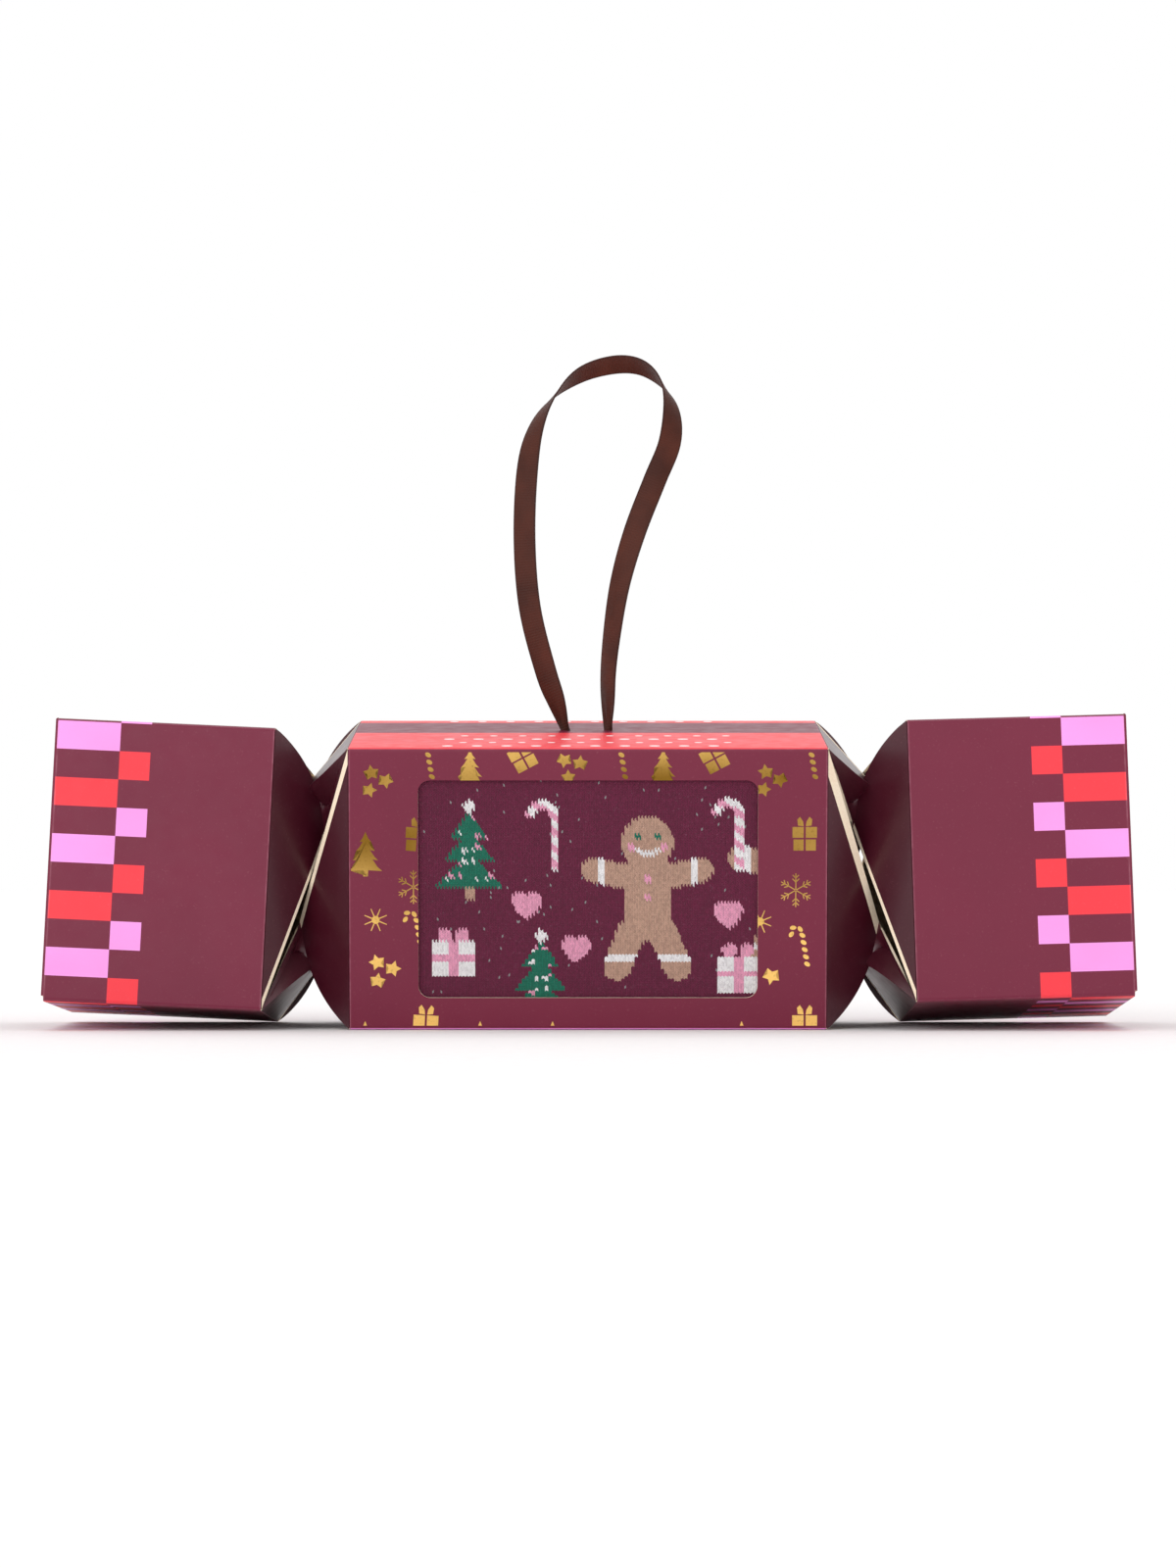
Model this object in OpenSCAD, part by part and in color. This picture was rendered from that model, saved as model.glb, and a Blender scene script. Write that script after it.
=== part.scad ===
// Cracker-shaped gift box: a middle box and two end boxes folded from one printed
// board, joined by two necks whose strips are pushed inwards, with a ribbon loop.
// X runs along the cracker, -Y is the window side, Z is up from the table.

/* [Boxes] */
// Width of each square face across the cracker
box_w = 72; // [64:1:84]
// Length of the middle box
middle_len = 121; // [110:1:140]
// Length of each end box
end_len = 55; // [45:1:70]
// Thickness of the board
board_t = 0.6; // [0.45:0.05:0.75]
// Width of the glued overlap strip inside each box
glue_w = 14; // [8:1:20]

/* [Necks] */
// Distance from the middle box to the left end box
left_neck_gap = 20.7; // [18:0.1:23]
// Distance from the middle box to the right end box
right_neck_gap = 21.7; // [18:0.1:23]
// Length of a neck before its strips are pushed in
neck_flat = 30; // [28:0.5:33]
// Distance that each strip stays back from the corners of the boxes
corner_relief = 1.2; // [1:0.1:1.6]
// Rise of a strip's curved fold over its straight chord
fold_rise = 4; // [3:0.1:5]

/* [Pose on the table] */
// Forward lean of the middle box, in degrees
middle_lean_angle = 7.3; // [6:0.1:9]
// Backward lean of the left end box, in degrees
left_lean_angle = 4; // [3:0.1:7]
// Backward lean of the right end box, in degrees
right_lean_angle = 5.8; // [3:0.1:7]
// Upward tilt of the left end box, in degrees
left_tilt_angle = 2.6; // [1:0.1:3]
// Upward tilt of the right end box, in degrees
right_tilt_angle = 1.6; // [1:0.1:3]

/* [Window] */
// Length of the window
window_len = 86; // [60:1:100]
// Height of the window
window_h = 55.5; // [40:0.5:60]
// Radius of the window corners
window_r = 3; // [1:0.5:6]

/* [End closures] */
// Length of the tuck tab
tuck_len = 14; // [10:1:16]
// Inward tilt of the tuck tab, in degrees
tuck_tilt_angle = 8; // [7:0.5:10]
// Gap between the tuck tab and the wall under it
tuck_clear = 0.8; // [0.8:0.1:1.2]
// Length of each dust flap
dust_len = 30; // [20:1:31]
// Distance from the dust flaps down to the wall that carries the tuck tab
dust_low_gap = 5.5; // [5:0.1:8]
// Distance from the dust flaps up to the wall that carries the lid
dust_high_gap = 1.5; // [1:0.1:3]
// Gap between a dust flap and the closed lid
dust_clear = 0.3; // [0.2:0.05:0.5]
// Width taken off the tuck tab at each side
tuck_side_gap = 1; // [0.5:0.1:2]
// Radius of the tuck tab's free corners
tuck_r = 6; // [3:0.5:8]

/* [Ribbon] */
// Width of the ribbon
ribbon_w = 6; // [4:0.5:8]
// Thickness of the ribbon
ribbon_t = 0.4; // [0.3:0.05:0.6]
// Distance between the two ribbon holes
hole_gap = 11; // [9:0.5:14]
// Distance of the ribbon holes behind the middle of the top wall
hole_back = 9; // [0:0.5:14]
// Diameter of each ribbon hole
hole_d = 3.6; // [3:0.1:4.5]
// Diameter of each knot
knot_d = 7; // [6:0.5:9]
// Height of each knot
knot_h = 3.4; // [3:0.1:5]

/* [Socks] */
// Length of each folded sock
sock_len = 112; // [90:1:116]
// Radius of the socks' rounded folds
sock_fold_r = 6; // [3:0.5:7.5]
// Space left over the rear sock for the ribbon's knots
knot_headroom = 4.4; // [4.2:0.1:8]
// Gap between the two folded socks
pair_gap = 2.6; // [0.5:0.1:4]
// Gap round the socks
sock_clear = 0.2; // [0.15:0.05:0.3]
// Gap between the window wall and the front sock
window_gap = 3; // [2.5:0.1:3.2]

/* [Hidden] */

// Colours of the print, the bare board, the ribbon and the knit
PRINT = [0.48, 0.22, 0.30];
NECK_PRINT = [0.36, 0.14, 0.21];
BARE_BOARD = [0.80, 0.74, 0.66];
SATIN = [0.29, 0.17, 0.13];
KNIT = [0.33, 0.13, 0.25];

// Faces and corners are numbered front, top, rear, base and run upwards from the lower front corner
FACE_NAMES = ["front", "top", "rear", "base"];
FACES = 4;
CORNER_SIGNS = [[-1, -1], [-1, 1], [1, 1], [1, -1]];
INWARD_SIGNS = [[1, 0], [0, -1], [-1, 0], [0, 1]];

// Overrun of every cut
over = 1;
half_w = box_w / 2;
inner_half = half_w - board_t;
$fn = 48;

// Thickness of one layer of a folded sock
sock_layer = (2 * inner_half - window_gap - pair_gap - 3 * sock_clear) / 4;

// Share of a cut, from its end-box corner, at which the curved fold meets it
meet_share = 0.64;
// Columns across a strip, rows in each flat flap and rows in each half of the pleat
STRIP_COLUMNS = 12;
FLAP_ROWS = 3;
PLEAT_ROWS = 3;
relief_share = corner_relief / box_w;
flat_chord = [meet_share * neck_flat, -(1 - meet_share) * box_w];
chord_len = norm(flat_chord);
rise_shares = [fold_rise * -flat_chord[1] / chord_len / neck_flat,
    fold_rise * flat_chord[0] / chord_len / box_w];

function face_number(name) = search([name], FACE_NAMES)[0];
function sign_of(side) = side == "left" ? -1 : 1;
function lean_of(side) = side == "left" ? left_lean_angle : right_lean_angle;
function tilt_of(side) = side == "left" ? left_tilt_angle : right_tilt_angle;
function gap_of(side) = side == "left" ? left_neck_gap : right_neck_gap;
function fold_angle(side) = acos(gap_of(side) / neck_flat);
function lean_height(angle) = half_w * (cos(angle) + sin(angle));
function inner_end_drop(side) = end_len / 2 * sin(tilt_of(side));
function end_height(side) = lean_height(lean_of(side)) * cos(tilt_of(side)) + inner_end_drop(side);
function end_reach(side) = middle_len / 2 + gap_of(side) + end_len / 2 * cos(tilt_of(side));
middle_height = lean_height(middle_lean_angle);

function about_x(p, a) = [p[0], p[1] * cos(a) - p[2] * sin(a), p[1] * sin(a) + p[2] * cos(a)];
function about_y(p, a) = [p[0] * cos(a) + p[2] * sin(a), p[1], p[2] * cos(a) - p[0] * sin(a)];
function flip_x(p, side) = [sign_of(side) * p[0], p[1], p[2]];

// Turns and points of the middle box and of an end box, both with X pointing to that end
function middle_turn(p) = about_x(p, middle_lean_angle);
function end_turn(p, side) = about_y(about_x(p, -lean_of(side)), -tilt_of(side));
function middle_point(p) = middle_turn(p) + [0, 0, middle_height];
function end_point(p, side) = end_turn(p, side) + [end_reach(side), 0, end_height(side)];

module place_middle() {
    translate([0, 0, middle_height]) rotate([middle_lean_angle, 0, 0]) children();
}

module place_end(side) {
    if (side == "left") mirror([1, 0, 0]) place_end_on(side) children();
    else place_end_on(side) children();
}

module place_end_on(side) {
    translate([end_reach(side), 0, end_height(side)])
        rotate([-lean_of(side), -tilt_of(side), 0]) children();
}

// Turns a shape drawn at the base of a box to the given face
module on_face(face) {
    rotate([-90 * (face_number(face) + 1), 0, 0]) children();
}

// One wall with edges mitred to its neighbours, drawn at the base
module wall(len) {
    rotate([90, 0, 90]) linear_extrude(len, center = true)
        polygon([[-half_w, -half_w], [half_w, -half_w],
            [inner_half, -inner_half], [-inner_half, -inner_half]]);
}

module rounded_plate(len, h, r, t) {
    linear_extrude(t, center = true) {
        square([len - 2 * r, h], center = true);
        square([len, h - 2 * r], center = true);
        for (sx = [-1, 1], sy = [-1, 1]) translate([sx * (len / 2 - r), sy * (h / 2 - r)]) circle(r);
    }
}

module front_panel() {
    color(PRINT) place_middle() difference() {
        on_face("front") wall(middle_len);
        translate([0, -half_w, 0]) rotate([90, 0, 0])
            rounded_plate(window_len, window_h, window_r, 2 * board_t + 2 * over);
    }
}

module top_panel() {
    color(PRINT) place_middle() difference() {
        on_face("top") wall(middle_len);
        for (s = [-1, 1]) translate([s * hole_gap / 2, hole_back, inner_half - over])
            cylinder(d = hole_d, h = board_t + 2 * over);
    }
}

module middle_wall(face) {
    color(PRINT) place_middle() on_face(face) wall(middle_len);
}

module end_wall(side, face) {
    color(PRINT) place_end(side) on_face(face) wall(end_len);
}

// Overlap strip glued to the base wall, folded from the rear wall
module glue_strip_solid(len) {
    translate([-len / 2, inner_half - glue_w, -inner_half]) cube([len, glue_w, board_t]);
}

module glue_strip() {
    color(BARE_BOARD) place_middle() glue_strip_solid(middle_len);
}

module end_glue_strip(side) {
    color(BARE_BOARD) place_end(side) glue_strip_solid(end_len);
}

// Lid over the outer end, hinged along the outer edge of the top wall
lid_low = -inner_half + tuck_clear;
module lid(side) {
    color(PRINT) place_end(side) translate([end_len / 2, -half_w, lid_low])
        cube([board_t, box_w, half_w - lid_low]);
}

// Tab on the lid's lower edge, tilted inwards so that its tip clears the wall
module tuck_tab(side) {
    tab_w = 2 * (inner_half - tuck_side_gap);
    color(PRINT) place_end(side) translate([end_len / 2, 0, lid_low]) rotate([0, tuck_tilt_angle, 0])
        translate([-tuck_len, 0, 0]) linear_extrude(board_t) {
            translate([tuck_r, -tab_w / 2]) square([tuck_len - tuck_r - board_t, tab_w]);
            translate([0, tuck_r - tab_w / 2]) square([tuck_len - board_t, tab_w - 2 * tuck_r]);
            for (s = [-1, 1]) translate([tuck_r, s * (tab_w / 2 - tuck_r)]) circle(tuck_r);
        }
}

// Flap behind the lid, hinged on the front or rear wall
module dust_flap(side, turn) {
    flap_h = 2 * inner_half - dust_low_gap - dust_high_gap;
    slope = dust_low_gap;
    color(BARE_BOARD) place_end(side) scale([1, turn, 1])
        translate([end_len / 2 - dust_clear - board_t, -inner_half, -inner_half + dust_low_gap])
        rotate([90, 0, 90]) linear_extrude(board_t)
            polygon([[0, 0], [dust_len - slope, 0], [dust_len, slope],
                [dust_len, flap_h - slope], [dust_len - slope, flap_h], [0, flap_h]]);
}

// Play between a neck strip and the walls at its creases
fold_play = 0.005;
// Place across a box of a point on a face's crease, in the middle of the board
mid_half = half_w - board_t / 2;
function crease_place(face, u) =
    mid_half * ((1 - u) * CORNER_SIGNS[face % FACES] + u * CORNER_SIGNS[(face + 1) % FACES]);

// Point of a neck strip on its end-box flap: x is the flat distance from the crease as a share
// of the flat neck, u the share of the crease from the lower corner of the face
function flap_point(side, face, x, u) =
    let (yz = crease_place(face, u), n = INWARD_SIGNS[face],
        out = fold_play + x * neck_flat * cos(fold_angle(side)), deep = x * neck_flat * sin(fold_angle(side)))
    end_point([-end_len / 2 - out, yz[0] + deep * n[0], yz[1] + deep * n[1]], side);

// The same on the middle box's flap, with x counted from the middle box's crease
function middle_flap_point(side, face, x, u) =
    let (yz = crease_place(face, u), n = INWARD_SIGNS[face % FACES],
        out = fold_play + x * neck_flat * cos(fold_angle(side)), deep = x * neck_flat * sin(fold_angle(side)))
    middle_point([middle_len / 2 + out, yz[0] + deep * n[0], yz[1] + deep * n[1]]);

// Curved fold in flat shares [x, u], from the corner at w = 0 to the cut at w = 1
function fold_shares(w) =
    let (bow_share = 4 * w * (1 - w))
    [meet_share * w + rise_shares[0] * bow_share, 1 - (1 - meet_share) * w + rise_shares[1] * bow_share];

function pleat_flat_len(w) =
    let (a = fold_shares(w), b = fold_shares(1 - w))
    norm([(1 - b[0] - a[0]) * neck_flat, (2 - b[1] - a[1]) * box_w]);

// Centre line of the neck at a given distance along X
function axis_point(x, side) =
    let (share = (x - middle_len / 2) / gap_of(side))
    [x, 0, middle_height + share * (end_height(side) - inner_end_drop(side) - middle_height)];

function unit(v) = v / norm(v);
function mix_points(a, b, share) = a + (b - a) * share;

// Middle surface of one strip: a list of points from the end box's crease to the middle box's
function strip_column(side, face, w) =
    let (u = 1 - w, k = fold_shares(w), j = fold_shares(1 - w),
        e = flap_point(side, face, 0, u), k1 = flap_point(side, face, k[0], k[1]),
        c = middle_flap_point(side, face + 1, 0, u), k2 = middle_flap_point(side, face + 1, j[0], 1 - j[1]),
        m = mix_points(k1, k2, 1 / 2), slack = pow(pleat_flat_len(w), 2) - pow(norm(k1 - k2), 2),
        ridge = m + unit(axis_point(m[0], side) - m) * sqrt(max(0, slack)) / 2)
    concat([for (i = [0 : FLAP_ROWS - 1]) mix_points(e, k1, i / FLAP_ROWS)],
        [for (i = [0 : PLEAT_ROWS - 1]) mix_points(k1, ridge, i / PLEAT_ROWS)],
        [for (i = [0 : PLEAT_ROWS - 1]) mix_points(ridge, k2, i / PLEAT_ROWS)],
        [for (i = [0 : FLAP_ROWS]) mix_points(k2, c, i / FLAP_ROWS)]);

STRIP_ROWS = 2 * FLAP_ROWS + 2 * PLEAT_ROWS;

// Outward face normals of the boxes, used where a strip meets its crease
function face_normal(face) = let (n = INWARD_SIGNS[face % FACES]) [0, -n[0], -n[1]];

function grid_normal(g, i, j, side, face) =
    j == 0 ? end_turn(face_normal(face), side)
    : j == STRIP_ROWS ? middle_turn(face_normal(face + 1))
    : unit(cross(g[min(i + 1, STRIP_COLUMNS)][j] - g[max(i - 1, 0)][j], g[i][j + 1] - g[i][j - 1]));

// Closed skin round a grid of middle points and its normals
module neck_strip(side, face_name) {
    face = face_number(face_name);
    g = [for (i = [0 : STRIP_COLUMNS]) strip_column(side, face,
        relief_share + (1 - 2 * relief_share) * i / STRIP_COLUMNS)];
    n = [for (i = [0 : STRIP_COLUMNS]) [for (j = [0 : STRIP_ROWS]) grid_normal(g, i, j, side, face)]];
    turn = cross(g[1][1] - g[0][1], g[0][2] - g[0][1]) * end_turn(face_normal(face), side) > 0 ? 1 : -1;
    skin = [for (s = [1, -1]) for (i = [0 : STRIP_COLUMNS]) for (j = [0 : STRIP_ROWS])
        let (k = (j == 0 || j == STRIP_ROWS) ? s : s * turn)
        flip_x(g[i][j] + n[i][j] * k * board_t / 2, side)];
    row = STRIP_ROWS + 1;
    layer = row * (STRIP_COLUMNS + 1);
    outer = [for (i = [0 : STRIP_COLUMNS - 1]) for (j = [0 : STRIP_ROWS - 1])
        let (a = i * row + j) each [[a, a + row, a + 1], [a + row, a + row + 1, a + 1]]];
    inner = [for (f = outer) [f[0] + layer, f[2] + layer, f[1] + layer]];
    ends = [for (i = [0 : STRIP_COLUMNS - 1]) for (j = [0, STRIP_ROWS])
        let (a = i * row + j, b = a + row, t = [[a, a + layer, b], [b, a + layer, b + layer]])
        each (j == 0 ? t : [for (f = t) [f[0], f[2], f[1]]])];
    sides = [for (j = [0 : STRIP_ROWS - 1]) for (i = [0, STRIP_COLUMNS])
        let (a = i * row + j, b = a + 1, t = [[a, b, a + layer], [b, b + layer, a + layer]])
        each (i == 0 ? t : [for (f = t) [f[0], f[2], f[1]]])];
    faces = concat(outer, inner, ends, sides);
    out = sign_of(side) * turn > 0;
    color(NECK_PRINT) polyhedron(skin, out ? faces : [for (f = faces) [f[0], f[2], f[1]]]);
}

// Ribbon route from one hole over the loop to the other: across, back, up, and the turn of
// the ribbon about its own line, in degrees
RIBBON_ROUTE = [
    [-5.5, 0, 0, 55], [-8.2, 0, 7.5, 38], [-11.2, 0.5, 16, 25], [-15.3, 1, 32.5, 20], [-16.7, 1.5, 50.5, 20],
    [-16, 2, 68.5, 24], [-13.8, 2, 79.5, 50], [-9.2, 1.5, 87.5, 84], [-2, 1, 93.6, 122], [6.7, 0, 96.2, 134],
    [13.8, -1, 95.5, 124], [19, -2, 91.3, 96], [21.8, -2.5, 84.5, 50], [21.4, -2.5, 75.5, 14],
    [17.4, -2, 65.5, 0], [12.3, -1.5, 52.5, -14], [8.5, -1, 39.5, -30], [6.3, -0.5, 26.5, -42],
    [5.1, 0, 13.5, -52], [5.5, 0, 0, -58]];
RINGS_PER_SPAN = 3;
ribbon_mid_z = half_w - board_t / 2;
// Share of the ribbon's width left where it is gathered in its holes
gather_share = 0.45;
gather_height = 12;

function spline(a, b, c, d, s) =
    ((2 * b) + (c - a) * s + (2 * a - 5 * b + 4 * c - d) * s * s + (3 * b - a - 3 * c + d) * s * s * s) / 2;
ribbon_last = len(RIBBON_ROUTE) - 1;
RIBBON_RINGS = [for (i = [0 : ribbon_last - 1]) for (k = [0 : RINGS_PER_SPAN - 1])
    spline(RIBBON_ROUTE[max(i - 1, 0)], RIBBON_ROUTE[i], RIBBON_ROUTE[i + 1],
        RIBBON_ROUTE[min(i + 2, ribbon_last)], k / RINGS_PER_SPAN)];
ribbon_path = concat(RIBBON_RINGS, [RIBBON_ROUTE[ribbon_last]]);

function ring_width(z) = ribbon_w * (gather_share + (1 - gather_share) * min(1, max(0, z) / gather_height));

module hanging_ribbon() {
    last = len(ribbon_path) - 1;
    root = middle_point([0, hole_back, ribbon_mid_z]);
    points = [for (i = [0 : last])
        let (p = ribbon_path[i], q = ribbon_path[min(i + 1, last)] - ribbon_path[max(i - 1, 0)],
            along = unit([q[0], q[1], q[2]]), flat = unit(cross(along, [0, 1, 0])), back = cross(flat, along),
            across = flat * cos(p[3]) + back * sin(p[3]), out = cross(along, across),
            w = ring_width(p[2]) / 2)
        each [for (s = [[-1, -1], [1, -1], [1, 1], [-1, 1]])
            root + [p[0], p[1], p[2]] + across * s[0] * w + out * s[1] * ribbon_t / 2]];
    sides = [for (i = [0 : last - 1]) for (k = [0 : 3])
        let (a = 4 * i + k, b = 4 * i + (k + 1) % 4) each [[a, a + 4, b], [b, a + 4, b + 4]]];
    b = 4 * last;
    caps = [[0, 1, 2], [0, 2, 3], [b, b + 2, b + 1], [b, b + 3, b + 2]];
    color(SATIN) polyhedron(points, concat(sides, caps));
}

module ribbon_knots() {
    color(SATIN) place_middle() for (s = [-1, 1])
        translate([s * hole_gap / 2, hole_back, inner_half - knot_h]) {
            cylinder(d = knot_d, h = knot_h / 2);
            cylinder(d = hole_d + knot_h / 2, h = knot_h);
        }
}

// Cross-section of a folded sock, seen along X: two layers joined by the fold at the bottom
module sock_section(h) {
    w = 2 * sock_layer + sock_clear;
    difference() {
        union() {
            translate([-w / 2, sock_fold_r]) square([w, h - 2 * sock_fold_r]);
            translate([sock_fold_r - w / 2, 0]) square([w - 2 * sock_fold_r, h]);
            for (sx = [-1, 1], z = [sock_fold_r, h - sock_fold_r])
                translate([sx * (w / 2 - sock_fold_r), z]) circle(sock_fold_r);
        }
        translate([-sock_clear / 2, sock_layer]) square([sock_clear, h]);
    }
}

module sock(centre_y, lift, h) {
    color(KNIT) place_middle() translate([0, centre_y, -inner_half + lift])
        rotate([90, 0, 90]) linear_extrude(sock_len, center = true) sock_section(h);
}

module front_sock() {
    sock(-inner_half + window_gap + sock_layer + sock_clear / 2, sock_clear, 2 * inner_half - 2 * sock_clear);
}

// Rests on the glued strip and leaves room for the knots
module rear_sock() {
    lift = board_t + sock_clear;
    sock(inner_half - sock_clear - sock_layer - sock_clear / 2, lift, 2 * inner_half - lift - knot_headroom);
}

front_panel();
top_panel();
middle_wall("rear");  // rear_panel
middle_wall("base");  // base_panel
glue_strip();
end_wall("left", "front");  // left_front_panel
end_wall("left", "top");  // left_top_panel
end_wall("left", "rear");  // left_rear_panel
end_wall("left", "base");  // left_base_panel
end_glue_strip("left");  // left_glue_strip
lid("left");  // left_lid
tuck_tab("left");  // left_tuck_tab
dust_flap("left", 1);  // left_front_dust_flap
dust_flap("left", -1);  // left_rear_dust_flap
end_wall("right", "front");  // right_front_panel
end_wall("right", "top");  // right_top_panel
end_wall("right", "rear");  // right_rear_panel
end_wall("right", "base");  // right_base_panel
end_glue_strip("right");  // right_glue_strip
lid("right");  // right_lid
tuck_tab("right");  // right_tuck_tab
dust_flap("right", 1);  // right_front_dust_flap
dust_flap("right", -1);  // right_rear_dust_flap
neck_strip("left", "front");  // left_front_neck_strip
neck_strip("left", "top");  // left_top_neck_strip
neck_strip("left", "rear");  // left_rear_neck_strip
neck_strip("left", "base");  // left_base_neck_strip
neck_strip("right", "front");  // right_front_neck_strip
neck_strip("right", "top");  // right_top_neck_strip
neck_strip("right", "rear");  // right_rear_neck_strip
neck_strip("right", "base");  // right_base_neck_strip
hanging_ribbon();
ribbon_knots();
front_sock();
rear_sock();
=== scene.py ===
"""Dresses the cracker-shaped gift box: printed board, gold foil, satin loop and knitted socks."""

import logging
import math
import random
from collections.abc import Callable, Iterable, Sequence
from dataclasses import dataclass, field
from enum import Enum

import bmesh
import bpy
from mathutils import Matrix, Vector

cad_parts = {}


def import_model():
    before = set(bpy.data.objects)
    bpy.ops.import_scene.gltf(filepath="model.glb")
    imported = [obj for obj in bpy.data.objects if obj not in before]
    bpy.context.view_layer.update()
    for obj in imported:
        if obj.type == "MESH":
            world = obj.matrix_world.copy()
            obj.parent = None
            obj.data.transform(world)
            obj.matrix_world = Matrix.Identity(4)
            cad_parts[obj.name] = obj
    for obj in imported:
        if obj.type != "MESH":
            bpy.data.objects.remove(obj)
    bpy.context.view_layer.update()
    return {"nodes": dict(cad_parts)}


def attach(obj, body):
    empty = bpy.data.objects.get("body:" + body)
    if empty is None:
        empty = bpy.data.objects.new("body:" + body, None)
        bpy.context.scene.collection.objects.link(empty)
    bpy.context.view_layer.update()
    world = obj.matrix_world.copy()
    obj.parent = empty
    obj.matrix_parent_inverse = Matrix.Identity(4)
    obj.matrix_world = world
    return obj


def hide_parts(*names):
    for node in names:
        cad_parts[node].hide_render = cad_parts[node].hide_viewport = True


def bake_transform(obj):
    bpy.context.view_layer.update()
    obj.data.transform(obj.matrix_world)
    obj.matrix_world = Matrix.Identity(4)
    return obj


LOG = logging.getLogger("cracker_box")

MM = 0.001
Point = tuple[float, float, float]
Flat = tuple[float, float]
Pair = tuple[float, float]
Color = tuple[float, float, float, float]
Piece = bpy.types.Object
Material = bpy.types.Material
Socket = bpy.types.NodeSocket


class Side(Enum):
    """The two ends of the cracker, with the sign of X that each lies on."""

    LEFT = -1
    RIGHT = 1

    @property
    def label(self) -> str:
        """The side's name in node and body names."""
        return self.name.lower()


class Face(Enum):
    """The four faces of a box, numbered upwards from the window side."""

    FRONT = 0
    TOP = 1
    REAR = 2
    BASE = 3


class Skin(Enum):
    """The surfaces of a folded board, as material slots on its pieces."""

    PRINT = 0
    INNER = 1
    CUT = 2


def ink(red: float, green: float, blue: float) -> Color:
    """Turns a colour as it looks on screen, from 0 to 255, into a linear one.

    Args:
        red: Red part.
        green: Green part.
        blue: Blue part.

    Returns:
        The linear colour with an alpha of one.
    """
    parts = [c / 255 for c in (red, green, blue)]
    linear = [c / 12.92 if c <= 0.04045 else ((c + 0.055) / 1.055) ** 2.4 for c in parts]
    return (linear[0], linear[1], linear[2], 1.0)


BURGUNDY = ink(116, 29, 57)
PINK = ink(254, 162, 238)
RED = ink(250, 60, 72)
WHITE_INK = ink(250, 240, 240)


@dataclass(frozen=True)
class Carton:
    """Sizes of the folded carton, in metres and degrees, as its CAD source has them."""

    box_w: float = 72 * MM
    middle_len: float = 121 * MM
    end_len: float = 55 * MM
    board_t: float = 0.6 * MM
    fold_r: float = 1.1 * MM
    neck_flat: float = 30 * MM
    fold_rise: float = 4 * MM
    meet_share: float = 0.64
    middle_lean: float = 7.3
    leans: Pair = (4.0, 5.8)
    tilts: Pair = (2.6, 1.6)
    gaps: Pair = (20.7 * MM, 21.7 * MM)
    window: Point = (86 * MM, 8 * MM, 55.5 * MM)
    window_r: float = 3 * MM

    @property
    def half(self) -> float:
        """Half the width of a box."""
        return self.box_w / 2

    @property
    def inner_half(self) -> float:
        """Half the width inside a box."""
        return self.half - self.board_t

    def of(self, values: Pair, side: Side) -> float:
        """The value for a side from a left and right pair."""
        return values[0] if side is Side.LEFT else values[1]

    def lean_height(self, angle: float) -> float:
        """Height of a leaning box's centre over the table."""
        turn = math.radians(angle)
        return self.half * (math.cos(turn) + math.sin(turn))

    def drop(self, side: Side) -> float:
        """How much lower an end box's inner end is than its centre."""
        return self.end_len / 2 * math.sin(math.radians(self.of(self.tilts, side)))

    def end_height(self, side: Side) -> float:
        """Height of an end box's centre over the table."""
        tilt = math.radians(self.of(self.tilts, side))
        return self.lean_height(self.of(self.leans, side)) * math.cos(tilt) + self.drop(side)

    def middle_place(self) -> Matrix:
        """Where the middle box stands, as a matrix from its own axes to the frame."""
        up = Matrix.Translation((0, 0, self.lean_height(self.middle_lean)))
        return up @ Matrix.Rotation(math.radians(self.middle_lean), 4, "X")

    def end_place(self, side: Side) -> Matrix:
        """Where an end box stands, drawn with its outer end towards +X on both sides.

        Args:
            side: Which end.

        Returns:
            The matrix, which mirrors X on the left side.
        """
        tilt = math.radians(self.of(self.tilts, side))
        reach = self.middle_len / 2 + self.of(self.gaps, side) + self.end_len / 2 * math.cos(tilt)
        place = (
            Matrix.Translation((reach, 0, self.end_height(side)))
            @ Matrix.Rotation(-tilt, 4, "Y")
            @ Matrix.Rotation(-math.radians(self.of(self.leans, side)), 4, "X")
        )
        return Matrix.Scale(side.value, 4, (1, 0, 0)) @ place


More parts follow.
